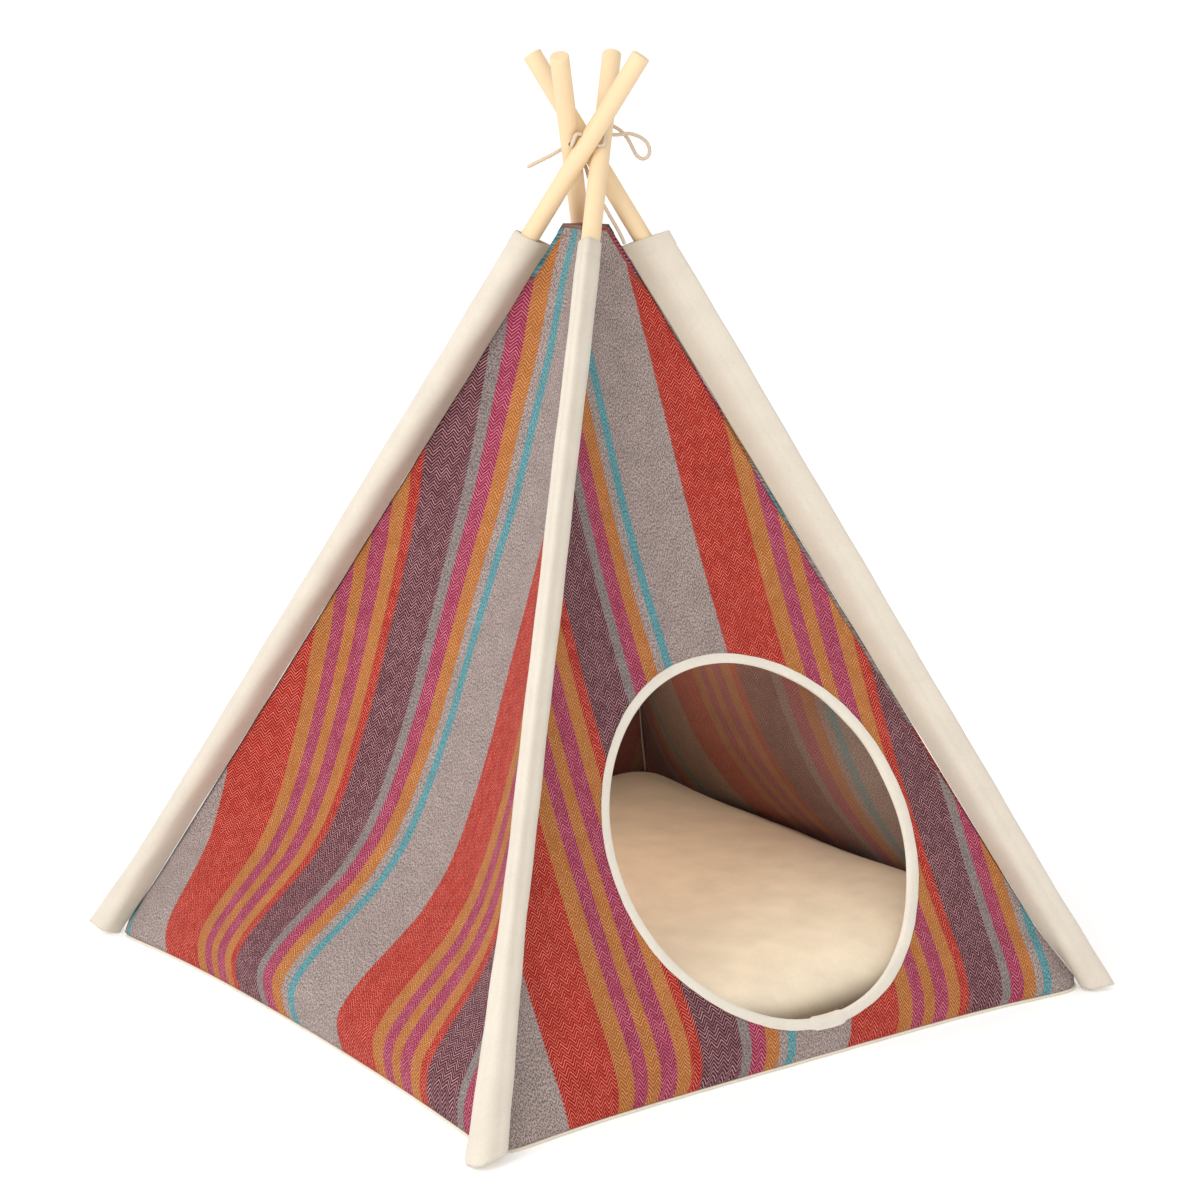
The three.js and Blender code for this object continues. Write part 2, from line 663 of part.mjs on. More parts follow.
function cordGeometry() {
  const path = new THREE.CatmullRomCurve3(CORD_ROUTE.map((p) => vec(...p)), false, "centripetal");
  const section = new THREE.Shape();
  for (let i = 0; i < CORD_SIDES; i++) {
    const angle = (i / CORD_SIDES) * 2 * Math.PI;
    const at = [Math.cos(angle), Math.sin(angle)].map((v) => (v * CORD_DIAMETER) / 2);
    if (i === 0) section.moveTo(...at);
    else section.lineTo(...at);
  }
  section.closePath();
  return new THREE.ExtrudeGeometry(section, { steps: CORD_STEPS, extrudePath: path });
}

for (const row of SLEEVES) {
  const frame = cornerFrame(row.x, row.y);
  addNode("pole_" + row.corner, poleGeometry(frame), wood);
  const skins = [sleeveSkin(row, frame, 0), sleeveSkin(row, frame, SLEEVE_CLOTH)];
  addNode("sleeve_" + row.corner, sheetSolid(skins[0], skins[1], true, true), canvas);
}
addNode("wall_front", doorWall(), striped);
for (const wall of ["left", "right", "back"]) addNode("wall_" + wall, plainWall(wall), striped);
addNode("door_binding", bindingGeometry(), canvas);
addNode("base_cloth", baseGeometry(), canvas);
addNode("floor_cushion", cushionGeometry(), filled);
addNode("tie_cord", cordGeometry(), cotton);

export default tent;
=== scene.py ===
"""Looks for the cat tent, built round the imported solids. Lengths are in millimetres until the
meshes are made, and +Z is up. The origin is on the floor at the middle of the tent."""
import math

import bpy
import numpy as np
from mathutils import Matrix, Vector


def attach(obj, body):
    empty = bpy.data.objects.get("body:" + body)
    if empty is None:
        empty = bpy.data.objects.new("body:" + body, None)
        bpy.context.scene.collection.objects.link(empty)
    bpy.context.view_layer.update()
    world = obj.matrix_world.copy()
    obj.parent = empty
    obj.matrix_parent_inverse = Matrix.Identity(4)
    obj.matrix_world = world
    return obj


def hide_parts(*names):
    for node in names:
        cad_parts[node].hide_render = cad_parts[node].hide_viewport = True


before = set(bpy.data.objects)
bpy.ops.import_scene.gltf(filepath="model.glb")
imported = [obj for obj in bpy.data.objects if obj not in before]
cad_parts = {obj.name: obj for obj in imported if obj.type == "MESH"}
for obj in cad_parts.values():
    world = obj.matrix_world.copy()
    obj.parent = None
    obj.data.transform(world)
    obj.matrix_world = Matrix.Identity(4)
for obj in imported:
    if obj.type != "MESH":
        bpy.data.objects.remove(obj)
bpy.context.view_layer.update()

MM = 0.001
PI = math.pi

# Camera
CAMERA_AT = (-1358.0, -1896.0, 845.1)
CAMERA_PAN = math.radians(-35.921)
CAMERA_TILT = math.radians(12.614)
CAMERA_ROLL = math.radians(0.149)
CAMERA_LENS = 83.92

# Poles
POLE_LENGTH, POLE_RADIUS, POLE_ROUNDING = 914.4, 7.95, 1.6
FOOT_RADIUS, FOOT_HEIGHT = 437.6, 6.2
CROSS_HEIGHT, CROSS_OFFSET = 704.6, 12.6
HOLE_RADIUS, DRILL_REACH, DRILL_SIDES, POLE_SIDES = 2.6, 14.0, 24, 40
# how far past the crossing each pole's hole is, and how far it is turned
HOLES = {"front_left": (24.0, -5), "front_right": (9.4, -20), "back_right": (9.4, -20), "back_left": (9.4, -20)}

# Cover
COVER_HEIGHT, BASE_HALF, TOP_HALF, WALL_FOOT = 643.0, 298.0, 12.5, 2.5
CLOTH, HEM, HEM_HEIGHT, MITRE_GAP = 1.6, 2.4, 8.0, 0.2
SAG_HEIGHT = (0, 15, 30, 45, 60, 80, 100, 130, 160, 200, 240, 300, 360, 420, 480, 540, 600, 643)
WALL_SAG = {
    "left": (12, 4.5, -2, 3.5, 14, 32.5, 49.5, 61.4, 64.6, 64, 61.3, 54.2, 48.2, 43.2, 32.7, 22.9, 9, 3),
    "front": (1, -2, -5.4, -6.5, -4.5, -0.8, 2.4, 5, 8.8, 14.8, 18.2, 22, 22, 19, 13, 7, 4, 3),
    "back": (12, 5, -1, 2, 8, 21, 35, 53, 58, 58, 56, 50, 43, 38, 29, 20, 9, 3),
    "right": (12, 4.5, -2, 1, 6, 16, 29, 42, 50, 53, 51, 46, 40, 36, 27, 19, 8, 3),
}
WALL_TURNS = {"front": 0, "right": 1, "back": 2, "left": 3}
# At the foot: how far each wall is drawn in at its middle, then, at its left and right end,
# how far it swells beside the corner and at the corner itself
WALL_ENDS = {
    "front": (1, 10.5, 3.0, 10.5, 6.0),
    "right": (12, 6.0, 6.0, 3.0, 0.0),
    "back": (12, 3.0, 0.0, 3.0, 0.0),
    "left": (12, 6.5, 0.0, 1.0, 3.0),
}
END_REACH, CORNER_REACH, END_HEIGHT = 75.0, 8.0, 60.0
# How far the stripes are carried sideways where the cloth tucks under at its foot
STRIPE_CURL = {"left": -15.0, "front": 14.0, "right": 0.0, "back": 0.0}

# Door, on the front wall's cloth laid flat
DOOR_RIGHT, DOOR_UP, DOOR_RADIUS = 21.3, 181.7, 147.6
DOOR_COS2, DOOR_SIN2, DOOR_COS3 = -3.0, -3.3, -0.8
BINDING_WIDTH, BINDING_FLAT = 8.0, (20.0, 985.0)
LAP_AT, LAP_THICK = math.radians(-86), 0.9

# Sleeves
SLEEVE_CLOTH, SLEEVE_EASE, SLEEVE_FIN, SLEEVE_SEAM_GAP = 1.1, 0.9, 1.8, 0.5
SLEEVE_TOP_INNER, SLEEVE_TOP_OUTER, SLEEVE_FLOOR, ALLOWANCE = 625.0, 638.0, 1.5, 4.6
SLEEVES = {  # corner signs, then reach at the foot, low down and at the top, and opening
    "front_left": (-1, -1, 17, 15, 14, 5.5),
    "front_right": (1, -1, 20, 18.5, 21.5, 2),
    "back_right": (1, 1, 18, 15, 14, 3),
    "back_left": (-1, 1, 18.5, 12.2, 11.6, 2),
}
# How far the end of each foot is lifted at its seam, its fold, its left and its right
FOOT_CUT_HEIGHT = 46
FOOT_CUT = {
    "front_left": (0, 0, 0, 8),
    "front_right": (1.5, 5, 0, 0),
    "back_right": (1.5, 5, 0, 0),
    "back_left": (0, 10, 0, 0),
}

# Floor
BASE_OUTSIDE, BASE_CORNER, BASE_FLAT = 1.2, 14.0, 606.0
CUSHION_HALF, CUSHION_DRAW, CUSHION_CORNER = 279.0, 8.0, 34.0
CUSHION_EDGE, CUSHION_CROWN, BASE_CLOTH = 70.0, 76.0, 1.8
# how square its section is, and how much fuller it is towards the right and the back
CUSHION_SQUARE, CUSHION_FULLER = 9, (0.14, 0.02)

# Cord
CORD_DIAMETER, CORD_SIDES, CORD_STEP = 3.2, 14, 0.8
CORD_STRANDS, CORD_TWIST, CORD_DEPTH = 3, 9.0, 0.09
CORD_ROUTE = [
    # sewn end and the way up
    (23.2, -23.2, 626.5), (21, -20.5, 634), (17.5, -14.5, 645), (13.5, -6.5, 658), (10.5, 1.5, 670),
    (8.8, 8, 680), (9.4, 13.8, 689), (6.5, 21, 698), (1, 26, 706), (-4.5, 26, 714),
    # back right pole
    (-8.3, 22, 719.6), (-8.7, 15.3, 718.6), (-12.5, 5.5, 712.6), (-15.6, -2, 708),
    (-18.3, -5.4, 708.1), (-18, -8.1, 712.6), (-16.4, -9.1, 716.8),
    # back left pole
    (-13.2, -9.5, 717.3), (-5.5, -12.5, 712.6), (2, -15.4, 708),
    (4.9, -17.6, 708.3), (6.7, -17.4, 712.4), (8, -15.7, 718), (9.3, -13.4, 723.6), (10.5, -11, 728),
    # front left pole
    (11.6, -8.6, 730.4), (13.3, -6.3, 729.9), (18.2, -0.2, 724.9), (22.8, 5.2, 720.4),
    # slack loop
    (25.4, 6.2, 717.6), (29.4, 3.6, 715), (34.8, 0, 715), (41, -3.5, 715.8),
    (48.5, -8.5, 713.2), (53.5, -12, 708.5), (55.5, -13.5, 702.5), (54.2, -13, 697), (50.5, -10.5, 695),
    (47, -7.5, 697.5), (44.5, -4.5, 704), (42, -0.8, 711.5), (38, 5, 718.5), (31.5, 10.5, 722.6),
    # front right pole and the free end
    (24.5, 11, 723.4), (18.8, 8.6, 720.8), (5.5, 12.5, 712.6), (-1.9, 16.2, 707.9), (-5.4, 19.9, 705.7),
    (-10.5, 21.8, 702.8), (-17, 24.2, 699), (-26, 28, 694.3), (-36.4, 32.2, 689),
]

# Stripes: the place of each stripe's right edge in one repeat, its colour and its thread's colour
STRIPE_REPEAT = 287.0
RED = ((0.37, 0.011, 0.008), (0.80, 0.22, 0.155))
ORANGE = ((0.40, 0.108, 0.015), (0.68, 0.38, 0.17))
MAGENTA = ((0.28, 0.012, 0.050), (0.72, 0.25, 0.34))
PURPLE = ((0.072, 0.012, 0.021), (0.56, 0.31, 0.33))
GREY = ((0.13, 0.105, 0.10), (0.42, 0.345, 0.335))
TAUPE = ((0.185, 0.137, 0.125), (0.58, 0.48, 0.45))
TEAL = ((0.040, 0.190, 0.220), (0.24, 0.45, 0.48))
STRIPES = [  # right edge of each, colour of its ground and its thread, how plainly its thread shows
    (54, *RED, 1.0), (70.5, *ORANGE, 0.85), (83, *MAGENTA, 0.9), (96, *ORANGE, 0.85),
    (111, *MAGENTA, 0.9), (124.5, *ORANGE, 0.75), (135, *RED, 1.0), (172, *PURPLE, 0.95),
    (181.5, *GREY, 0.3), (194.5, *MAGENTA, 0.9), (206.5, *ORANGE, 0.75), (214.5, *TAUPE, 0.3),
    (224, *TEAL, 0.3), (287, *TAUPE, 0.3),
]
# How far the stripes run aslant, and where the hung cloth carries some of their edges
STRIPE_SLANT = {"left": -0.029, "front": 0.0576, "right": 0.085, "back": -0.02}
STRIPE_RUN = {"left": (1, 0), "front": (1, 0), "right": (-1, 75), "back": (-1, 40)}
STRIPE_PLACES = {
    "front": (
        (-229.4, -176.7, -105.9, -55.3, -8.5, 57.9, 108.8, 176.0, 222.5, 267.5),
        (-287, -233, -162.5, -115, -72.5, 0, 54, 124.5, 172, 214.5),
    ),
    "left": (
        (-177.0, -111.2, -74.4, -47.9, -21.6, 57.8, 111.4, 192.4, 238.0),
        (-233, -152, -115, -92.5, -72.5, 0, 54, 135, 172),
    ),
    "right": ((-86, 2.5, 135, 173.4, 225.4), (-67.75, 0, 135, 172, 219.25)),
    "back": ((-57.0, 0.0), (0, 57)),
}

# Wall, side of the wall and the place in the repeat that shows on its turned edge
BARE_EDGES = (("left", -1, 219.0), ("front", 1, 188.0))
BARE_ABOVE, TURNED_EDGE, HEM_STRIPE = 596.0, 3.2, 150.0
# How high the walls' lower corners are rounded off, how wide, and up to what height
CORNER_LIFT, CORNER_WIDE, CORNER_FADE = 9.0, 11.0, 24.0

# Herringbone: half of its repeat across, its strokes' slope and their spacing
THREAD_ARM, THREAD_SLOPE, THREAD_SPACING = 4.4, 1.25, 3.1
STRIPE_TOOTH = 1.35
# the first colour is painted shade, beside the sleeves' seams and below their top hems; then come the duller
# reverse of the striped cloth and the dark between its threads
PAINTED_SHADE, REVERSE_SHADE, BETWEEN_THREADS = (0.36, 0.27, 0.19), (0.25, 0.165, 0.125), (0.02, 0.008, 0.008)


# Meshes and their finishes

def add_object(name, data):
    obj = bpy.data.objects.new(name, data)
    bpy.context.scene.collection.objects.link(obj)
    return obj


def piece(name, points, faces, finish, slot, node, **point_data):
    """A dressed mesh on the root body, in place of one node of the frame."""
    mesh = bpy.data.meshes.new(name)
    mesh.from_pydata((np.asarray(points, float) * MM).tolist(), [], [tuple(map(int, f)) for f in faces])
    for key, values in point_data.items():
        made = mesh.attributes.new(key, "FLOAT_VECTOR", "POINT")
        made.data.foreach_set("vector", np.asarray(values, np.float32).ravel())
    mesh.polygons.foreach_set("use_smooth", np.full(len(mesh.polygons), True))
    mesh.update()
    obj = add_object(name, mesh)
    mesh.materials.append(finish)
    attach(obj, "root")
    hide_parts(node)
    return obj


def unit(value):
    """The value kept between 0 and 1."""
    return np.clip(value, 0, 1)


def walked(path):
    """How far along the path each of its points is."""
    return np.concatenate([[0], np.cumsum(np.linalg.norm(np.diff(path, axis=0), axis=1))])


def fan(hub, first, count, flip=False):
    """Triangles from one point to each side of a closed run of points."""
    pairs = [(first + i, first + (i + 1) % count) for i in range(count)]
    return [(hub, b, a) if flip else (hub, a, b) for a, b in pairs]


def closed_faces(rows, columns, flip=False):
    """Faces of rows closed round their columns, with one point more to close each end."""
    last = (rows - 1) * columns
    hub = last + columns
    ends = fan(hub, 0, columns, not flip) + fan(hub + 1, last, columns, flip)
    return [*grid_faces(rows, columns, True, flip=flip), *ends]


def grid_faces(rows, columns, round_columns=False, start=0, flip=False):
    """Quads between neighbouring points of a grid kept row by row."""
    i = np.arange(rows - 1)[:, None]
    j = np.arange(columns if round_columns else columns - 1)[None, :]
    k = (j + 1) % columns
    quads = np.stack(
        [i * columns + j, i * columns + k, (i + 1) * columns + k, (i + 1) * columns + j], -1
    ).reshape(-1, 4) + start
    return quads[:, ::-1] if flip else quads


def strip_faces(first, second, closed=False):
    """Quads between two equal runs of point numbers."""
    first, second = np.asarray(first), np.asarray(second)
    if closed:
        first, second = np.append(first, first[0]), np.append(second, second[0])
    return np.stack([first[:-1], first[1:], second[1:], second[:-1]], -1)


def sheet_mesh(front, back, round_columns=False):
    """Points and quads of one cloth between its two faces, closed at all its edges."""
    rows, columns = front.shape[:2]
    total = rows * columns
    points = np.concatenate([front.reshape(-1, 3), back.reshape(-1, 3)])
    number = np.arange(total).reshape(rows, columns)
    faces = [
        grid_faces(rows, columns, round_columns),
        grid_faces(rows, columns, round_columns, total, True),
        strip_faces(number[-1], number[-1] + total, round_columns),
        strip_faces(number[0] + total, number[0], round_columns),
    ]
    if not round_columns:
        faces += [
            strip_faces(number[:, 0], number[:, 0] + total),
            strip_faces(number[:, -1] + total, number[:, -1]),
        ]
    return points, np.concatenate(faces)


def twisted_tube(path, radius, sides, ends):
    """A tube along path, whose section turns as a twisted cord's does."""
    along = np.gradient(path, axis=0)
    along /= np.linalg.norm(along, axis=1)[:, None]
    normal = np.cross(along[0], [0.3, 0.2, 1.0])
    steps = walked(path)
    angle = np.arange(sides) / sides * 2 * PI
    rings = []
    for at, way, step in zip(path, along, steps):
        normal = normal - way * (normal @ way)
        normal /= np.linalg.norm(normal)
        other = np.cross(way, normal)
        strand = 0.5 - 0.5 * np.cos(CORD_STRANDS * (angle - 2 * PI / CORD_TWIST * step))
        reach = radius * (1 - CORD_DEPTH * strand ** 1.5) * ends(step, steps[-1])
        rings.append(at + (np.cos(angle) * reach)[:, None] * normal + (np.sin(angle) * reach)[:, None] * other)
    return np.concatenate(rings + [path[:1], path[-1:]]), closed_faces(len(path), sides)


def catmull(points, step):
    """The centripetal spline through the points, at about equal steps."""
    p = np.asarray(points, float)
    p = np.concatenate([[2 * p[0] - p[1]], p, [2 * p[-1] - p[-2]]])
    out = []

    def between(t, low, high, start, end):
        return (high - t) / (high - low) * start + (t - low) / (high - low) * end

    for i in range(1, len(p) - 2):
        a, b, c, d = p[i - 1:i + 3]
        t1, t2, t3 = np.cumsum([np.linalg.norm(way) ** 0.5 for way in (b - a, c - b, d - c)])
        for t in np.linspace(t1, t2, 24, endpoint=False):
            ab, bc, cd = between(t, 0, t1, a, b), between(t, t1, t2, b, c), between(t, t2, t3, c, d)
            out.append(between(t, t1, t2, between(t, 0, t2, ab, bc), between(t, t1, t3, bc, cd)))
    out.append(p[-2])
    out = np.array(out)
    run = walked(out)
    even = np.linspace(0, run[-1], max(2, int(round(run[-1] / step)) + 1))
    return np.stack([np.interp(even, run, out[:, k]) for k in range(3)], -1), run[-1]


# Materials

class Nodes:
    """A short way to write the node tree of a material or a world."""

    def __init__(self, owner, output="ShaderNodeOutputMaterial"):
        owner.use_nodes = True
        self.owner, self.tree = owner, owner.node_tree
        self.tree.nodes.clear()
        self.output = self.tree.nodes.new(output)

    def put(self, kind, inputs=None, **settings):
        node = self.tree.nodes.new(kind)
        for key, value in settings.items():
            setattr(node, key, value)
        for key, value in (inputs or {}).items():
            self.set(node.inputs[key], value)
        return node

    def set(self, socket, value):
        if isinstance(value, bpy.types.NodeSocket):
            self.tree.links.new(value, socket)
        elif socket.type == "RGBA" and len(value) == 3:
            socket.default_value = (*value, 1)
        else:
            socket.default_value = value

    def math(self, operation, a, b=0.0, c=0.0, clamp=False):
        node = self.put("ShaderNodeMath", operation=operation, use_clamp=clamp)
        for socket, value in zip(node.inputs, (a, b, c)):
            self.set(socket, value)
        return node.outputs[0]

    def times(self, a, b, clamp=False):
        return self.math("MULTIPLY", a, b, clamp=clamp)

    def shaken(self, value, noise, reach):
        """The value moved either way by a noise around a half."""
        return self.math("MULTIPLY_ADD", self.math("SUBTRACT", noise, 0.5), reach, value)

    def mix(self, share, a, b, blend="MIX"):
        node = self.put("ShaderNodeMix", {0: share, 6: a, 7: b}, data_type="RGBA", blend_type=blend)
        return node.outputs[2]

    def toned(self, colour, tone):
        return self.mix(1.0, colour, self.join(tone, tone, tone), "MULTIPLY")

    def span(self, value, low, high, to_low=0.0, to_high=1.0, smooth=True):
        node = self.put(
            "ShaderNodeMapRange",
            {0: value, 1: low, 2: high, 3: to_low, 4: to_high},
            interpolation_type="SMOOTHSTEP" if smooth else "LINEAR",
        )
        return node.outputs[0]

    def noise(self, vector, scale, detail=2.0, rough=0.5):
        node = self.put(
            "ShaderNodeTexNoise",
            {"Vector": vector, "Scale": scale, "Detail": detail, "Roughness": rough},
        )
        return node.outputs[0]

    def attribute(self, name):
        node = self.put("ShaderNodeAttribute", attribute_name=name)
        return node.outputs["Vector"]

    def split(self, vector):
        return self.put("ShaderNodeSeparateXYZ", {0: vector}).outputs

    def join(self, x, y, z=0.0):
        return self.put("ShaderNodeCombineXYZ", {0: x, 1: y, 2: z}).outputs[0]

    def bump(self, height, distance, strength=1.0):
        node = self.put("ShaderNodeBump", {"Strength": strength, "Distance": distance, "Height": height})
        return node.outputs[0]

    def steps(self, value, stops):
        """The colour of the last stop that the value has passed."""
        node = self.put("ShaderNodeValToRGB", {0: value})
        ramp = node.color_ramp
        ramp.interpolation = "CONSTANT"
        while len(ramp.elements) < len(stops):
            ramp.elements.new(0.5)
        for element, (at, colour) in zip(ramp.elements, stops):
            element.position = at
            element.color = (*colour, 1)
        return node.outputs[0]

    def surface(self, colour, roughness, normal=None, sheen=0.0, through=0.0, specular=0.5, glow=0.0):
        inputs = {"Base Color": colour, "Roughness": roughness, "Specular IOR Level": specular}
        if sheen:
            inputs.update({"Sheen Weight": sheen, "Sheen Roughness": 0.45})
        if glow:
            inputs.update({"Emission Color": (1, 1, 1), "Emission Strength": glow})
        if normal is not None:
            inputs["Normal"] = normal
        out = self.put("ShaderNodeBsdfPrincipled", inputs).outputs[0]
        if through:
            thin = self.put("ShaderNodeBsdfTranslucent", {0: colour})
            out = self.put("ShaderNodeMixShader", {0: through, 1: out, 2: thin.outputs[0]}).outputs[0]
        self.tree.links.new(out, self.output.inputs[0])
        return self.owner


def material(name):
    return Nodes(bpy.data.materials.new(name))


def striped_cloth():
    """Striped herringbone cloth. The cloth attribute is its place across and along, in mm, and
    1 on its reverse, where the stripes are faint."""
    n = material("striped_cloth")
    place = n.attribute("cloth")
    across, along, reverse = n.split(place)
    flat = n.join(across, along)
    # the stripes' edges are toothed
    tooth = n.math("PINGPONG", n.math("DIVIDE", along, STRIPE_TOOTH), 1.0)
    edge = n.shaken(across, tooth, 0.9)
    share = n.math("FRACT", n.math("DIVIDE", edge, STRIPE_REPEAT))
    lefts = [0.0] + [row[0] / STRIPE_REPEAT for row in STRIPES[:-1]]
    ground = n.steps(share, [(at, row[1]) for at, row in zip(lefts, STRIPES)])
    thread = n.steps(share, [(at, row[2]) for at, row in zip(lefts, STRIPES)])
    weave = n.steps(share, [(at, (row[3],) * 3) for at, row in zip(lefts, STRIPES)])
    # herringbone: slanting floats that meet in points
    wave = n.shaken(across, n.noise(flat, 0.06), 3.0)
    fold = n.math("PINGPONG", wave, THREAD_ARM)
    order = n.math("FLOOR", n.math("DIVIDE", wave, THREAD_ARM))
    climb = n.math("MULTIPLY_ADD", fold, THREAD_SLOPE, along)
    phase = n.math("DIVIDE", n.shaken(climb, n.noise(flat, 0.3), 1.0), THREAD_SPACING)
    saw = n.times(n.math("ABSOLUTE", n.math("SUBTRACT", n.math("FRACT", phase), 0.5)), 2.0)
    stroke = n.span(saw, 0.47, 0.22)
    which = n.join(order, n.math("FLOOR", phase))
    broken = n.put("ShaderNodeTexWhiteNoise", {0: which}, noise_dimensions="2D").outputs[0]
    paler = n.span(broken, 0.0, 1.0, 0.45, 1.2, False)
    speck = n.noise(n.join(n.times(across, 1.5), along), 1.15, 2.0, 0.65)
    shown = n.times(n.times(stroke, paler), weave)
    shown = n.times(shown, n.span(speck, 0.30, 0.55, 0.5, 1.0), True)
    colour = n.mix(shown, ground, thread)
    # the plain stripes are speckled with both yarns
    melange = n.noise(n.join(n.times(across, 1.15), n.times(along, 0.75)), 0.72, 2.0, 0.75)
    mixed = n.times(n.span(melange, 0.45, 0.56), n.math("SUBTRACT", 1.0, weave), True)
    colour = n.mix(mixed, colour, thread)
    dark = n.times(n.span(saw, 0.66, 1.0), 0.55)
    colour = n.mix(n.times(dark, weave), colour, BETWEEN_THREADS)
    flecks = n.span(speck, 0.30, 0.70, 0.84, 1.16, False)
    slow = n.span(n.noise(flat, 0.05, 3.0), 0.3, 0.7, 0.92, 1.08, False)
    colour = n.toned(colour, n.times(flecks, slow))
    # the reverse is duller and browner
    colour = n.mix(reverse, colour, n.mix(0.55, colour, REVERSE_SHADE))
    height = n.math("MULTIPLY_ADD", shown, 0.8, n.times(speck, 0.5))
    return n.surface(colour, 0.9, n.bump(height, 0.0004, 0.8), sheen=0.06, through=0.06, specular=0.15)


def canvas(name, colour, thread=0.62, through=0.06, mottle=0.04):
    """Plain woven canvas. The cloth attribute is its place across and along, in mm, and how
    much painted shade it gets beside a seam and below a top hem."""
    n = material(name)
    place = n.attribute("cloth")
    across, along, shade = n.split(place)
    warp, weft = (n.math("SINE", n.times(way, 2 * PI / thread)) for way in (across, along))
    stretches = ((0.22, 1.3), (1.3, 0.22))
    slubs = [n.noise(n.join(n.times(across, a), n.times(along, b)), 1.0, 3.0) for a, b in stretches]
    yarn = n.math("ADD", *slubs)
    slow = n.span(n.noise(place, 0.03, 4.0), 0.3, 0.7, 1 - mottle, 1 + mottle, False)
    made = n.toned(colour, n.times(n.span(yarn, 0.7, 1.3, 0.955, 1.035, False), slow))
    # painted shade: darker and browner as far as the cloth attribute's third value says, beside the sleeves'
    # seams and below their top hems
    made = n.mix(n.times(shade, 0.40, True), made, PAINTED_SHADE)
    normal = n.bump(n.math("MULTIPLY_ADD", n.times(warp, weft), 0.25, yarn), 0.00012, 0.7)
    return n.surface(made, 0.85, normal, sheen=0.15, through=through, specular=0.25)


def pine():
    """Pale wood. The grain attribute is its place across and along, in mm, and the cut
    attribute is 1 on the sawn ends."""
    n = material("pine")
    x, y, z = n.split(n.attribute("grain"))

    def streak(along, *noise):
        return n.noise(n.join(x, y, n.times(z, along)), *noise)

    bands = n.math("FRACT", n.times(streak(0.012, 0.30, 3.0), 9.0))
    line = n.span(n.math("ABSOLUTE", n.math("SUBTRACT", bands, 0.5)), 0.5, 0.1)
    fibre = streak(0.03, 3.2, 3.0)
    slow = streak(0.1, 0.12)
    colour = n.mix(n.span(line, 0.0, 1.0, 0.0, 0.62), (0.90, 0.75, 0.51), (0.76, 0.53, 0.29))
    colour = n.mix(n.span(fibre, 0.45, 0.75, 0.0, 0.35), colour, (0.94, 0.83, 0.63))
    colour = n.mix(n.span(slow, 0.42, 0.68, 0.0, 0.4), colour, (0.86, 0.63, 0.43))
    # year rings round a pith outside the dowel
    squares = [n.math("POWER", n.math("ADD", way, pith), 2.0) for way, pith in ((x, 9.0), (y, 4.0))]
    rings = n.math("SINE", n.times(n.math("SQRT", n.math("ADD", *squares)), 4.6))
    end = n.mix(n.span(rings, -0.2, 1.0), (0.84, 0.66, 0.42), (0.66, 0.45, 0.26))
    colour = n.mix(n.split(n.attribute("cut"))[0], colour, end)
    normal = n.bump(n.math("ADD", fibre, n.times(line, 0.4)), 0.00008, 0.6)
    return n.surface(colour, 0.5, normal, specular=0.4)


def cotton(name, colour):
    n = material(name)
    across, along, _ = n.split(n.attribute("cloth"))
    fibre = n.noise(n.join(n.times(across, 2.5), along), 1.6, 3.0)
    made = n.toned(colour, n.span(fibre, 0.3, 0.7, 0.8, 1.12, False))
    return n.surface(made, 0.9, n.bump(fibre, 0.0002, 0.6), sheen=0.2, specular=0.2)


STRIPED = striped_cloth()
SLEEVE_CANVAS = canvas("sleeve_canvas", (0.74, 0.67, 0.57))
BASE_CANVAS = canvas("base_canvas", (0.80, 0.72, 0.60))
TAPE = canvas("binding_tape", (0.80, 0.745, 0.65), thread=0.5)
COVER = canvas("cushion_cover", (0.82, 0.70, 0.53), thread=0.8, mottle=0.07, through=0.0)
WOOD = pine()
CORD = cotton("cotton_cord", (0.70, 0.58, 0.45))


# Camera

pan, tilt = CAMERA_PAN, CAMERA_TILT
back_way = Vector((math.sin(pan) * math.cos(tilt), -math.cos(pan) * math.cos(tilt), math.sin(tilt)))
right_way = (-back_way).cross(Vector((0, 0, 1))).normalized()
up_way = right_way.cross(-back_way)
turned_right = right_way * math.cos(CAMERA_ROLL) + up_way * math.sin(CAMERA_ROLL)
turned_up = up_way * math.cos(CAMERA_ROLL) - right_way * math.sin(CAMERA_ROLL)
camera = add_object("camera", bpy.data.cameras.new("camera"))
camera.data.sensor_width = 36.0
camera.data.lens = CAMERA_LENS
camera.data.clip_end = 50.0
axes = Matrix((turned_right, turned_up, back_way)).transposed()
camera.matrix_world = Matrix.Translation(Vector(CAMERA_AT) * MM) @ axes.to_4x4()
bpy.context.scene.camera = camera


# Cord

def cord_end(at, length):
    """The cord's first and last millimetres are a little drawn in."""
    return min(1.0, 0.72 + 0.28 * min(at, length - at) / 2.0)


cord_path, cord_length = catmull(CORD_ROUTE, CORD_STEP)
points, faces = twisted_tube(cord_path, CORD_DIAMETER / 2, CORD_SIDES, cord_end)
run = np.repeat(np.arange(len(cord_path)) * CORD_STEP, CORD_SIDES)
around = np.tile(np.arange(CORD_SIDES) / CORD_SIDES * PI * CORD_DIAMETER, len(cord_path))
cloth = np.concatenate([np.stack([around, run, 0 * run], -1), [[0, 0, 0], [0, cord_length, 0]]])
cord = piece("cord", points, faces, CORD, "cotton_cord", "tie_cord", cloth=cloth)


# Poles

def corner_frame(x, y):
    outward = np.array([x, y, 0.0]) / math.hypot(x, y)
    right = np.cross(-outward, [0, 0, 1])
    foot = outward * FOOT_RADIUS + [0, 0, FOOT_HEIGHT]
    crossing = right * CROSS_OFFSET + [0, 0, CROSS_HEIGHT]
    run = (crossing - foot) / np.linalg.norm(crossing - foot)
    return outward, right, foot, crossing, run


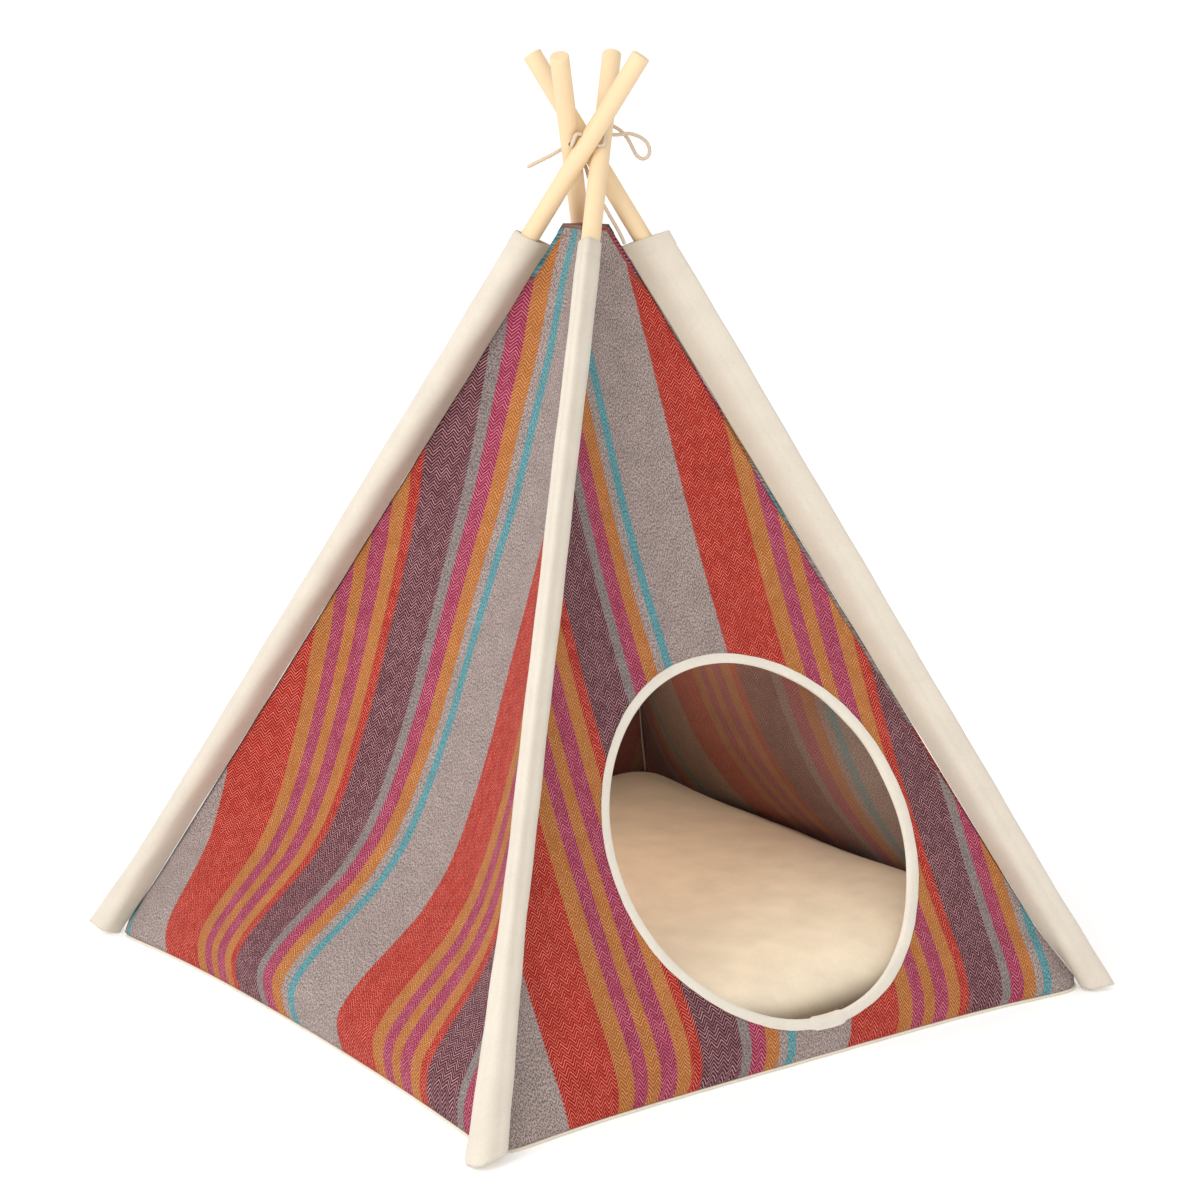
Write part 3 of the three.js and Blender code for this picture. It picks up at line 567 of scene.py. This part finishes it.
def drill(pole, corner, middle, way, side):
    """The hole for the cord, cut across the pole."""
    across = np.cross(side, way)
    across = -across if across[2] > 0 else across
    turned = math.radians(HOLES[corner][1])
    bore = across * math.cos(turned) + side * math.sin(turned)
    first = np.cross(bore, way)
    first /= np.linalg.norm(first)
    second = np.cross(bore, first)
    turns = np.arange(DRILL_SIDES) / DRILL_SIDES * 2 * PI
    ring = HOLE_RADIUS * (np.cos(turns)[:, None] * first + np.sin(turns)[:, None] * second)
    ends = np.concatenate([middle - bore * DRILL_REACH + ring, middle + bore * DRILL_REACH + ring])
    faces = [(a, b, DRILL_SIDES + b, DRILL_SIDES + a) for _, a, b in fan(0, 0, DRILL_SIDES)]
    faces += [tuple(range(DRILL_SIDES))[::-1], tuple(range(DRILL_SIDES, 2 * DRILL_SIDES))]
    mesh = bpy.data.meshes.new("drill")
    mesh.from_pydata((ends * MM).tolist(), [], faces)
    tool = add_object("drill", mesh)
    cutter = pole.modifiers.new("hole", "BOOLEAN")
    cutter.operation, cutter.solver, cutter.object = "DIFFERENCE", "EXACT", tool
    bpy.context.view_layer.update()
    done = bpy.data.meshes.new_from_object(pole.evaluated_get(bpy.context.evaluated_depsgraph_get()))
    pole.modifiers.clear()
    pole.data = done
    done.polygons.foreach_set("use_smooth", np.full(len(done.polygons), True))
    done.set_sharp_from_angle(angle=math.radians(50))
    bpy.data.objects.remove(tool)


def make_pole(corner, x, y, seed):
    _, right, foot, crossing, way = corner_frame(x, y)
    side = right - way * (right @ way)
    side /= np.linalg.norm(side)
    other = np.cross(way, side)
    r, c, length = POLE_RADIUS, POLE_ROUNDING, POLE_LENGTH
    profile = [(0.02, 0), (r * 0.55, 0), (r - c, 0.05), (r - 0.62 * c, 0.14 * c), (r - 0.29 * c, 0.3 * c),
               (r - 0.08 * c, 0.62 * c), (r, c)]
    profile += [(r, c + (length - 2 * c) * k / 60) for k in range(1, 60)]
    profile += [(rad, length - at) for rad, at in reversed(profile[:7])]
    angle = np.arange(POLE_SIDES) / POLE_SIDES * 2 * PI
    # each pole shows another part of the same grain
    aside, along = np.array([37.0, 25.9]) * seed, 400.0 * seed
    points, grain, cut = [], [], []
    for rad, at in profile:
        u, v = rad * np.cos(angle), rad * np.sin(angle)
        points.append(foot + way * at + u[:, None] * side + v[:, None] * other)
        grain.append(np.stack([u + aside[0], v + aside[1], np.full(POLE_SIDES, at + along)], -1))
        cut.append(np.full((POLE_SIDES, 3), 1.0 if min(at, length - at) < 0.2 * c else 0.0))
    points = np.concatenate(points + [[foot, foot + way * length]])
    grain = np.concatenate(grain + [[[*aside, along], [*aside, along + length]]])
    cut = np.concatenate(cut + [np.ones((2, 3))])
    faces = closed_faces(len(profile), POLE_SIDES)
    pole = piece("dowel_" + corner, points, faces, WOOD, "pine", "pole_" + corner, grain=grain, cut=cut)
    drill(pole, corner, crossing + way * HOLES[corner][0], way, side)


for number, (corner, row) in enumerate(SLEEVES.items()):
    make_pole(corner, row[0], row[1], number + 1)


# Walls

def smooth_table(values):
    """The sag at each millimetre of height, with the table's corners rounded."""
    z = np.arange(0, int(COVER_HEIGHT) + 1)
    fine = np.interp(z, SAG_HEIGHT, values)
    reach, blur = 12, 5.0
    kernel = np.exp(-0.5 * (np.arange(-reach, reach + 1) / blur) ** 2)
    padded = np.concatenate([2 * fine[0] - fine[reach:0:-1], fine, 2 * fine[-1] - fine[-2:-reach - 2:-1]])
    return np.convolve(padded, kernel / kernel.sum(), "valid")


SMOOTH_SAG = {wall: smooth_table(values) for wall, values in WALL_SAG.items()}
HEIGHTS = np.arange(0, int(COVER_HEIGHT) + 1)
LOW_LEVEL = CLOTH / 2  # the face's offset from the middle of a cloth, but for its hem


def half_width(z):
    return BASE_HALF + (TOP_HALF - BASE_HALF) * z / COVER_HEIGHT


def creases(wall, u, z):
    """Soft unevenness of the hanging cloth, none at its edges."""
    half = half_width(z)
    share = np.clip(u / half, -1, 1)
    seed = WALL_TURNS[wall] * 1.7
    edge = 1 - share ** 2
    low = unit(z / 60) * unit((COVER_HEIGHT - z) / 60)
    slow = 1.5 * np.sin(u / 41 + 0.9 * seed + z / 190) * np.sin(z / 83 + seed)
    slow += 0.8 * np.sin(u / 23 - z / 61 + 2.1 * seed)
    beside = (1 - np.abs(share)) * half
    pulls = 0.9 * np.exp(-beside / 16) * np.sin(z / 8.3 + 2.2 * np.sin(z / 47 + seed) + 3 * share)
    return slow * edge * low + pulls * unit(beside / 5) * low


def end_swell(wall, u, half):
    """How far the foot of a wall swells outward near its two lower corners."""
    _, left, left_corner, right, right_corner = WALL_ENDS[wall]
    beside = np.maximum(half - np.abs(u), 0)
    swell, corner = np.where(u < 0, left, right), np.where(u < 0, left_corner, right_corner)
    near = np.exp(-beside / CORNER_REACH)
    return (swell * (1 - near) + corner * near) * np.exp(-(beside / END_REACH) ** 1.5)


def wall_out(wall, u, z):
    half = half_width(z)
    share = np.clip(u / half, -1, 1)
    sag = np.interp(z, HEIGHTS, SMOOTH_SAG[wall])
    low = unit(1 - z / END_HEIGHT)
    low = low * low * (3 - 2 * low)
    return half - sag * (1 - share ** 2) + end_swell(wall, u, half) * low + creases(wall, u, z)


def wall_place(wall, u, z, offset):
    """Level and outward place of a point of one face of the cloth."""
    h = 0.5
    du = (wall_out(wall, u + h, z) - wall_out(wall, u - h, z)) / (2 * h)
    above, below = np.clip(z + h, 0, COVER_HEIGHT), np.clip(z - h, 0, COVER_HEIGHT)
    dz = (wall_out(wall, u, above) - wall_out(wall, u, below)) / (above - below)
    scale = offset * np.sqrt(1 + du ** 2 + dz ** 2) / (1 + du ** 2)
    return u - du * scale, wall_out(wall, u, z) + scale


def edge_table(wall, offset):
    """The level place of the cloth's side edges, at each millimetre of height."""
    z = HEIGHTS.astype(float)
    low, high = np.zeros_like(z), half_width(z) * 1.2
    for _ in range(40):
        tried = (low + high) / 2
        x, y = wall_place(wall, tried, z, offset)
        beyond = x > y - MITRE_GAP * math.sqrt(2)
        high, low = np.where(beyond, tried, high), np.where(beyond, low, tried)
    return low


EDGES = {}


def wall_points(wall, share, z, offset):
    """Points of one face of a wall, from the share of the way to its side edges and the height."""
    out_x, out_y = np.zeros_like(share), np.zeros_like(share)
    levels = np.round(offset, 3) * np.ones_like(share)
    for level in np.unique(levels):
        if (wall, level) not in EDGES:
            EDGES[wall, level] = edge_table(wall, level)
        here = levels == level
        u = share[here] * np.interp(z[here], HEIGHTS, EDGES[wall, level])
        out_x[here], out_y[here] = wall_place(wall, u, z[here], level)
    turn = WALL_TURNS[wall] * PI / 2
    x, y = out_x, -out_y
    return np.stack([x * math.cos(turn) - y * math.sin(turn), x * math.sin(turn) + y * math.cos(turn), z], -1)


def stripe_place(wall, share, z):
    """The cloth attribute of both faces: place across the stripes and along them, in mm, and 1
    on the reverse and in the hem."""
    u = share * np.interp(z, HEIGHTS, EDGES[wall, round(LOW_LEVEL, 3)])
    sign, start = STRIPE_RUN[wall]
    slanted = sign * u + start + STRIPE_SLANT[wall] * z
    begins = unit((u + 235) / 80) if wall == "front" else 1.0
    slanted = slanted + STRIPE_CURL[wall] * np.exp(-z / 11) * begins
    if wall == "left":
        # the cloth is drawn into its lower left corner
        beside = half_width(z) + u
        slanted = slanted - 10 * np.exp(-np.maximum(beside, 0) / 14) * unit((62 - z) / 34)
    hung, woven = STRIPE_PLACES[wall]
    across = np.interp(slanted, hung, woven)
    across = np.where(slanted < hung[0], woven[0] + slanted - hung[0], across)
    across = np.where(slanted > hung[-1], woven[-1] + slanted - hung[-1], across)
    # the turned edges of the corner seams that show above the sleeves
    for edge_wall, side, shown in BARE_EDGES:
        if wall == edge_wall:
            across = np.where((side * u > half_width(z) - TURNED_EDGE) & (z > BARE_ABOVE), shown, across)
    hem = z > COVER_HEIGHT - TURNED_EDGE
    along = np.interp(z, HEIGHTS, CLIMB[wall])
    place = np.stack([np.where(hem, HEM_STRIPE, across), along, 1.0 * hem], -1).reshape(-1, 3)
    return np.concatenate([place, place + [0, 0, 1]])


def lifted(u, z):
    """The height of a point of the cloth once its lower corners are rounded off."""
    beside = half_width(z) - np.abs(u)
    lift = CORNER_LIFT * unit(1 - beside / CORNER_WIDE) ** 2
    return z + lift * unit(1 - (z - WALL_FOOT) / CORNER_FADE)


def thickness(z):
    """Half the cloth's thickness: more in the hem at the top."""
    return np.where(z > COVER_HEIGHT - HEM_HEIGHT, HEM, CLOTH) / 2


def climb_table(wall):
    rise = np.gradient(half_width(HEIGHTS) - SMOOTH_SAG[wall])
    length = np.hypot(rise, 1.0)
    return np.concatenate([[0], np.cumsum((length[1:] + length[:-1]) / 2)])


CLIMB = {wall: climb_table(wall) for wall in WALL_TURNS}


def plain_wall(wall):
    hem_rows = [635.0, 636, 639.6, 640.1, 641.6, COVER_HEIGHT]
    rows = np.concatenate([np.linspace(WALL_FOOT, 110, 34), np.linspace(114, 634, 104), hem_rows])
    share, z = np.meshgrid(np.linspace(-1, 1, 121), rows)
    z = lifted(share * half_width(z), z)
    front, back = (wall_points(wall, share, z, way * thickness(z)) for way in (1, -1))
    return *sheet_mesh(front, back), stripe_place(wall, share, z)


def door_edge(angle, widened):
    pulled = DOOR_COS2 * np.cos(2 * angle) + DOOR_SIN2 * np.sin(2 * angle) + DOOR_COS3 * np.cos(3 * angle)
    radius = DOOR_RADIUS + pulled + widened
    return DOOR_RIGHT + radius * np.cos(angle), DOOR_UP + radius * np.sin(angle)


def front_points(x, y, offset):
    """Points of one face of the front wall, from their place on its cloth laid flat."""
    z = np.clip(np.interp(y, CLIMB["front"], HEIGHTS), WALL_FOOT, COVER_HEIGHT)
    share = np.clip(x / half_width(z), -1, 1)
    return wall_points("front", share, z, offset), share, z


def front_outline():
    """The front wall's flat outline, walked once round from its lower right corner."""
    foot = float(np.interp(WALL_FOOT, HEIGHTS, CLIMB["front"]))
    top = float(CLIMB["front"][-1])
    wide = half_width(WALL_FOOT)
    corners = np.array([(wide, foot), (TOP_HALF, top), (-TOP_HALF, top), (-wide, foot), (wide, foot)])
    counts = (120, 10, 120, 110)
    return np.concatenate([
        np.linspace(corners[i], corners[i + 1], count, endpoint=False) for i, count in enumerate(counts)
    ])


def door_wall():
    outline = front_outline()
    angle = np.arctan2(outline[:, 1] - DOOR_UP, outline[:, 0] - DOOR_RIGHT)
    rings = [np.stack(door_edge(angle, widened), -1) for widened in (0.0, BINDING_WIDTH / 2, BINDING_WIDTH)]
    rings += [rings[2] + (outline - rings[2]) * share for share in np.linspace(0, 1, 64)[1:]]
    x, y = np.moveaxis(np.array(rings), -1, 0)
    y = lifted(x, y)
    half_thick = thickness(np.interp(y, CLIMB["front"], HEIGHTS))
    front, share, z = front_points(x, y, half_thick)
    back, _, _ = front_points(x, y, -half_thick)
    return *sheet_mesh(front, back, True), stripe_place("front", share, z)


def sheet_size(wall):
    length = float(CLIMB[wall][-1] - np.interp(WALL_FOOT, HEIGHTS, CLIMB[wall]))
    width = 2 * half_width(WALL_FOOT)
    return width * MM, length * MM, (width + 2 * TOP_HALF) / 2 * length * MM * MM


for wall in ("left", "right", "back", "front"):
    points, faces, cloth = door_wall() if wall == "front" else plain_wall(wall)
    made = piece("cover_" + wall, points, faces, STRIPED, "striped_cloth", "wall_" + wall, cloth=cloth)
    width, length, area = sheet_size(wall)
    if wall == "front":
        area -= PI * (DOOR_RADIUS * MM) ** 2


# Door binding

def binding():
    count = 600
    angle = np.arange(count) / count * 2 * PI
    reach = CLOTH / 2 + 0.15
    # section: across from the door's edge outward, and through the cloth's thickness
    outer = [
        (7.4, reach), (7.45, reach + 0.35), (7.2, reach + 0.62), (6.5, reach + 0.74), (5.95, reach + 0.58),
        (5.5, reach + 0.76), (4.1, reach + 0.86), (2.6, reach + 0.9), (0.9, reach + 0.86),
        (-0.2, reach + 0.7), (-0.8, reach + 0.2), (-1.05, 0.0),
    ]
    near = reach - 0.05
    section = outer + [(a, -b) for a, b in reversed(outer[:-1])]
    section += [(7.3, -near), (0.2, -near), (-0.2, 0.0), (0.2, near), (7.3, near)]
    wave = 0.10 * np.sin(angle * 46) + 0.16 * np.sin(angle * 17 + 1)
    # the tape's end lies over its beginning
    from_join = np.angle(np.exp(1j * (angle - LAP_AT)))
    over = LAP_THICK / 2 * (np.tanh((from_join + 0.105) / 0.008) - np.tanh((from_join - 0.09) / 0.008))
    middles, ways = [], []
    for widened in (0.0, BINDING_WIDTH):
        x, y = door_edge(angle, widened)
        front, back = (front_points(x, y, np.full(count, level))[0] for level in (CLOTH / 2, -CLOTH / 2))
        middles.append((front + back) / 2)
        ways.append((front - back) / CLOTH)
    rings = []
    for across, through in section:
        lap = over * abs(np.sign(through))
        outside = abs(through) >= reach
        level = through + (lap * np.sign(through) if outside else 0 * lap)
        step = across + (1.3 * lap if across > 6 else -1.1 * lap if across < 0.5 else 0)
        step = ((step + (wave if outside and across > 6 else 0)) / BINDING_WIDTH * np.ones(count))[:, None]
        way = ways[0] + (ways[1] - ways[0]) * step
        rings.append(middles[0] + (middles[1] - middles[0]) * step + way * level[:, None])
    number = np.arange(len(section) * count).reshape(len(section), count)
    faces = np.concatenate([grid_faces(len(section), count, True), strip_faces(number[-1], number[0], True)])
    run = walked(np.array(section))
    cloth = np.stack(np.broadcast_arrays(run[:, None], (angle * DOOR_RADIUS)[None, :], 0.0), -1)
    return np.array(rings).reshape(-1, 3), faces[:, ::-1], cloth.reshape(-1, 3)


points, faces, cloth = binding()
tape = piece("door_tape", points, faces, TAPE, "binding_tape", "door_binding", cloth=cloth)


# Sleeves

# The wall whose right end meets each corner, and the wall whose left end does
CORNER_WALLS = {
    "front_left": ("left", "front"),
    "front_right": ("front", "right"),
    "back_right": ("right", "back"),
    "back_left": ("back", "left"),
}


def corner_reach(corner, z):
    at = min(max(z, WALL_FOOT), COVER_HEIGHT)
    best = 0.0
    for wall, end in zip(CORNER_WALLS[corner], (1.0, -1.0)):
        p = wall_points(wall, np.array([end]), np.array([at]), float(thickness(np.array(at))))[0]
        best = max(best, math.hypot(p[0], p[1]))
    return best + (half_width(z) - half_width(at)) * math.sqrt(2)


REACH_Z = np.concatenate([[0, WALL_FOOT], np.linspace(10, COVER_HEIGHT, 64)])
REACH = {corner: np.array([corner_reach(corner, z) for z in REACH_Z]) for corner in SLEEVES}


def sleeve_rows(corner, row, inset, shares):
    x_sign, y_sign, foot, low, top, opening = row
    outward, right, _, _, _ = corner_frame(x_sign, y_sign)
    rise = CROSS_HEIGHT - FOOT_HEIGHT
    lean = math.atan2(FOOT_RADIUS, rise)
    bulge = POLE_RADIUS + SLEEVE_EASE + SLEEVE_CLOTH
    inner = [1, 0.97, 0.92, 0.84, 0.75, 0.66, 0.57, 0.48, 0.39, 0.3, 0.22, 0.14, 0.07]
    outer = [0.1, 0.2, 0.3, 0.4, 0.5, 0.6, 0.7, 0.8, 0.88, 0.94, 0.98]
    rows, cloths = [], []
    for index, share in enumerate(shares):
        inner_z, outer_z = SLEEVE_TOP_INNER * share, SLEEVE_TOP_OUTER * share
        end = np.interp(share, [0, 0.13, 1], [foot, low, top])
        seam = float(np.interp(inner_z, REACH_Z, REACH[corner])) + SLEEVE_SEAM_GAP
        axis_z, axis = inner_z, seam
        for _ in range(8):
            axis = FOOT_RADIUS * (CROSS_HEIGHT - axis_z) / rise
            axis_z = inner_z + (outer_z - inner_z) * (axis - seam) / (axis + end - seam)
        aside = CROSS_OFFSET * (axis_z - FOOT_HEIGHT) / rise
        start = -math.hypot(seam - axis, aside)
        turned = math.atan2(aside, axis - seam)
        slope = (outer_z - inner_z) / (axis + end - seam)
        stretch = 1 / (math.cos(lean) + slope * math.sin(lean))
        opened = opening * unit(1 - share / 0.25)
        # drawn in a little at the closed foot and at the stitches of the top hem
        tuck = (0.93 if index == 0 else 1.0) * (1 - 0.07 * unit((share - 0.975) / 0.012))

        def half_at(x):
            circle = bulge * math.sqrt(max(0.0, 1 - (x / (bulge * stretch)) ** 2))
            if x < 0:
                way = unit((x - start) / -start)
                loose = SLEEVE_FIN + (bulge - SLEEVE_FIN) * math.sin(PI / 2 * way ** 1.25)
            else:
                way = x / end
                lip = SLEEVE_FIN + 0.6 + (bulge - SLEEVE_FIN - 0.6) * (1 - way)
                loose = lip * math.sqrt(max(0.0, 1 - way ** 12))
            spread = opened * math.sqrt(max(0.0, 1 - (x / (start if x < 0 else end)) ** 2))
            return (max(circle, loose) + spread) * tuck

        xs = [part * start for part in inner] + [0.0] + [part * end for part in outer]
        side = [(x, half_at(x) - inset) for x in xs]
        loop = side + [(end, 0.0)] + [(x, -half) for x, half in reversed(side)]
        ring, shades = [], []
        for x, half in loop:
            shades.append(1 - unit(((x - start) / (end - start) - 0.04) / 0.56))
            moved = min(max(x, start + 1.25 * inset), end - 1.25 * inset)
            angle = turned * unit(0.5 - x / (2 * bulge))
            out = moved * math.cos(angle) - half * math.sin(angle)
            across = moved * math.sin(angle) + half * math.cos(angle)
            along = unit((axis + out - seam) / (axis + end - seam))
            floor = SLEEVE_FLOOR + 0.2 * index
            z = max(inner_z + (outer_z - inner_z) * along, floor if inset else 0)
            at_seam, at_fold, at_left, at_right = FOOT_CUT[corner]
            side = unit(0.5 + across / (2 * (bulge + opening)))
            lift = at_seam + (at_fold - at_seam) * along + at_left + (at_right - at_left) * side
            raised = lift * max(0.0, 1 - z / FOOT_CUT_HEIGHT)
            z += raised
            flat = outward * (axis + out - raised * FOOT_RADIUS / rise) + right * (aside + across)
            ring.append((flat[0], flat[1], z))
        rows.append(ring)
        # painted shade: most beside the seam, where the canvas turns in to the wall, fading out by about the
        # middle of each side, and more just below the top hem
        shades = np.array(shades) ** 1.4 + 0.35 * math.exp(-(1 - share) / 0.035)
        cloths.append(np.stack([walked(ring), np.full(len(ring), axis_z * 1.18), shades], -1))
    return np.array(rows), np.array(cloths)


def outward_from_middle(rows):
    way = rows - rows.mean(axis=1, keepdims=True)
    return way / np.maximum(np.linalg.norm(way, axis=-1, keepdims=True), 1e-6)


def wrinkled(rows, seed):
    """Small creases across the canvas, most where it turns in beside the seam and at the foot."""
    count = rows.shape[1]
    around = np.arange(count) / count * 2 * PI
    z = rows[..., 2]
    swell = 0.16 * np.sin(z / 9.5 + 2 * np.sin(around * 2 + seed) + seed * 3)
    swell += 0.22 * np.sin(z / 27 + around * 1.0 + seed * 5)
    swell += 0.25 * np.exp(-z / 70) * np.sin(z / 6 + around * 3 + seed)
    return rows + outward_from_middle(rows) * (swell * unit(z / 12))[..., None]


def add_allowance(points, faces, cloth, row):
    """The sleeve's raw edge, which shows as a narrow strip along the seam inside the tent."""
    outward, right, _, _, _ = corner_frame(row[0], row[1])
    heights = np.linspace(64, 622, 140)
    inside = wall_points("front", np.ones_like(heights), heights, -CLOTH / 2)
    reach = np.hypot(inside[:, 0], inside[:, 1]) - 1.2
    wave = 0.5 * np.sin(heights / 17) + 0.35 * np.sin(heights / 7.3)
    lean = 0.9 * np.sin(heights / 41)
    rings = []
    for deep, side in ((0, 0.45), (0, -0.45), (ALLOWANCE, -0.35), (ALLOWANCE, 0.35)):
        at = reach - deep - (wave if deep else 0)
        across = side + (lean if deep else 0 * lean)
        flat = outward * at[:, None] + right * across[:, None]
        rings.append(np.concatenate([flat[:, :2], heights[:, None]], -1))
    start = len(points)
    last = start + (len(heights) - 1) * 4
    faces = [*faces, *grid_faces(len(heights), 4, True, start),
             (start + 3, start + 2, start + 1, start), (last, last + 1, last + 2, last + 3)]
    place = np.stack(np.broadcast_arrays([[0, 0, ALLOWANCE, ALLOWANCE]], heights[:, None], 0.0), -1)
    points = np.concatenate([points, np.stack(rings, 1).reshape(-1, 3)])
    return points, faces, np.concatenate([cloth, place.reshape(-1, 3)])


def make_sleeve(corner, row, seed):
    shares = np.concatenate([
        [0, 0.004, 0.012, 0.025, 0.04], np.linspace(0.055, 0.965, 96), np.linspace(0.969, 0.979, 5),
        [0.9803, 0.9815, 0.9827, 0.984, 0.988, 0.992, 0.996, 0.999, 1.0],
    ])
    outer, cloth = sleeve_rows(corner, row, 0.0, shares)
    inner, _ = sleeve_rows(corner, row, SLEEVE_CLOTH, shares)
    outer = wrinkled(outer, seed)
    count, columns = outer.shape[:2]
    total = count * columns
    # hem: the rim is turned in, so it is thicker, with a groove at its seam and a soft edge
    groove = np.exp(-((shares - 0.9815) / 0.0014) ** 2)
    hem = unit((shares - 0.979) / 0.003) - 1.3 * groove
    way = outward_from_middle(outer)
    outer = outer + way * (0.45 * hem)[:, None, None]
    outer[-1] -= way[-1] * 0.5
    number = np.arange(total).reshape(count, columns)
    faces = [
        *grid_faces(count, columns, True),
        *grid_faces(count, columns, True, total, True),
        *strip_faces(number[-1], number[-1] + total, True),
        *fan(2 * total, 0, columns, True),
        *fan(2 * total + 1, total, columns),
    ]
    hubs = [outer[0].mean(axis=0), inner[0].mean(axis=0)]
    points = np.concatenate([outer.reshape(-1, 3), inner.reshape(-1, 3), hubs])
    cloth = np.concatenate([cloth.reshape(-1, 3)] * 2 + [np.zeros((2, 3))])
    points, faces, cloth = add_allowance(points, faces, cloth, row)
    made = piece("sleeve_cloth_" + corner, points, faces, SLEEVE_CANVAS, "canvas", "sleeve_" + corner,
                 cloth=cloth)


for number, (corner, row) in enumerate(SLEEVES.items()):
    make_sleeve(corner, row, number + 1)


# Floor

def floor_loop(half, corner, drawn_in, steps=60, corner_steps=12):
    """A square walked once round, with rounded corners and sides drawn in as drawn_in says."""
    loop = []
    for side in range(4):
        turn = side * PI / 2
        straight = half - corner
        run = [(u, half - drawn_in(side, u / half)) for u in straight * np.linspace(-1, 1, steps + 1)]
        round_it = corner - drawn_in(side, straight / half)
        for angle in np.arange(1, corner_steps) / corner_steps * PI / 2:
            run.append((straight + round_it * math.sin(angle), straight + round_it * math.cos(angle)))
        loop += [(u * math.cos(turn) + out * math.sin(turn), u * math.sin(turn) - out * math.cos(turn))
                 for u, out in run]
    return np.array(loop)


def make_base():
    def bow(side, share):
        wall = ("front", "right", "back", "left")[side]
        swell = float(end_swell(wall, np.array(share * BASE_HALF), BASE_HALF))
        return WALL_ENDS[wall][0] * (1 - share * share) - swell

    outside = floor_loop(BASE_HALF + BASE_OUTSIDE, BASE_CORNER, bow)
    count = len(outside)
    run = walked(outside)
    inward = -outside / np.linalg.norm(outside, axis=1)[:, None]
    ripple = 0.28 * np.sin(run / 6.5 + 1.5 * np.sin(run / 31))
    # how far in and how high: the underside, the ledge outside the walls, the rim inside them
    section = [(2.2, 0.0), (0.8, 0.0), (0.15, 0.35), (0.0, 1.0), (0.15, 1.75), (0.7, 2.1), (2.2, 2.15),
               (3.4, 2.3), (3.9, 4.6), (6.0, 4.6), (6.4, 1.9), (12.0, BASE_CLOTH)]
    rings = []
    for index, (deep, height) in enumerate(section):
        moved = deep + ripple * (0 < index < 6)
        rings.append(np.concatenate([outside + inward * moved[:, None], np.full((count, 1), height)], -1))
    points = np.concatenate(rings + [[[0, 0, 0], [0, 0, BASE_CLOTH]]])
    faces = closed_faces(len(section), count)
    cloth = points * [1.0, 1.0, 0.0] + points[:, 2:3] * [0.3, 0.4, 0]
    made = piece("floor_cloth", points, faces, BASE_CANVAS, "canvas", "base_cloth", cloth=cloth)


def make_cushion():
    def draw(side, share):
        return CUSHION_DRAW * (1 - share * share)

    rest = BASE_CLOTH + 0.3

    def fuller(x, y, z):
        return rest + (z - rest) * (1 + (CUSHION_FULLER[0] * x + CUSHION_FULLER[1] * y) / CUSHION_HALF)

    rim = floor_loop(CUSHION_HALF, CUSHION_CORNER, draw, 44, 9)
    seam = rest + (CUSHION_EDGE - rest) * 0.5
    ring_shares = np.concatenate([np.linspace(0.03, 0.9, 58), np.linspace(0.91, 0.99, 9), [0.9955, 1.0]])

    def bulge(ring):
        return np.sqrt(np.maximum(0, 1 - ring ** CUSHION_SQUARE))

    def top_height(ring):
        crown = (CUSHION_CROWN - CUSHION_EDGE) * np.cos(ring * PI / 2)
        return seam + (CUSHION_EDGE - seam) * bulge(ring) + crown

    def bottom_height(ring):
        return np.where(ring < 0.9, rest, seam - (seam - rest) * bulge(np.maximum(ring, 0)))

    def at(ring, z):
        x, y = (rim * ring).T
        return np.stack([x, y, fuller(x, y, z)], -1)

    rows = []
    for ring in ring_shares:
        x, y = (rim * ring).T
        soft = 1.3 * np.sin(x / 47 + 0.4) * np.sin(y / 53 + 1.1) + 0.8 * np.sin(x / 29 - y / 37)
        soft += 0.5 * np.sin(x / 13 + 2 * np.sin(y / 31)) * np.exp(-((1 - ring) / 0.16) ** 2)
        rows.append(at(ring, top_height(ring)))
        rows[-1][:, 2] += soft * unit((1 - ring) / 0.06)
    rows += [at(ring, float(bottom_height(ring))) for ring in ring_shares[:-1][::-1]]
    points = np.concatenate(rows + [[[0, 0, rows[0][:, 2].mean()], [0, 0, rest]]])
    faces = closed_faces(len(rows), len(rim), True)
    cloth = points * [1.0, 1.0, 0.0] + points[:, 2:3] * [0.6, 0.6, 0]
    made = piece("cushion", points, faces, COVER, "cushion_cover", "floor_cushion", cloth=cloth)


make_base()
make_cushion()


# Floor of the room and the light

def light(name, at, size, power, colour, aim=(0, 0, 0.35)):
    data = bpy.data.lights.new(name, "AREA")
    data.energy, data.color, data.size = power, colour, size
    obj = add_object(name, data)
    obj.location = at
    obj.rotation_euler = (Vector(aim) - Vector(at)).to_track_quat("-Z", "Y").to_euler()


mesh = bpy.data.meshes.new("room_floor")
mesh.from_pydata([(-60, -60, 0), (60, -60, 0), (60, 60, 0), (-60, 60, 0)], [], [(0, 1, 2, 3)])
mesh.materials.append(material("room_floor").surface((0.95, 0.95, 0.95), 0.9, specular=0.0, glow=0.18))
floor = add_object("room_floor", mesh)
floor.location.z = -0.0005

world = bpy.data.worlds.new("studio")
bpy.context.scene.world = world
# the studio is white behind the tent and dimmer to the right of the camera
sky = Nodes(world, "ShaderNodeOutputWorld")
way = sky.put("ShaderNodeTexCoord").outputs["Generated"]
facing = sky.put("ShaderNodeVectorMath", {0: way, 1: (-0.62, 0.78, 0.0)}, operation="DOT_PRODUCT")
strength = sky.span(facing.outputs["Value"], -0.9, 0.05, 0.55, 1.05)
back = sky.put("ShaderNodeBackground", {0: (1.0, 1.0, 1.0), 1: strength})
sky.tree.links.new(back.outputs[0], sky.output.inputs[0])
light("key", (-3.2, -0.9, 2.4), 1.6, 40, (1.0, 0.98, 0.95))
light("door", (-0.9, -1.9, 1.25), 0.7, 6, (1.0, 0.92, 0.82), (0.05, -0.1, 0.12))
# the light that comes through the cloth
light("through_cloth", (0.0, 0.02, 0.40), 0.05, 0.60, (1.0, 0.83, 0.67), (0.07, -0.14, 0.0))
bpy.context.scene.view_settings.view_transform = "Standard"
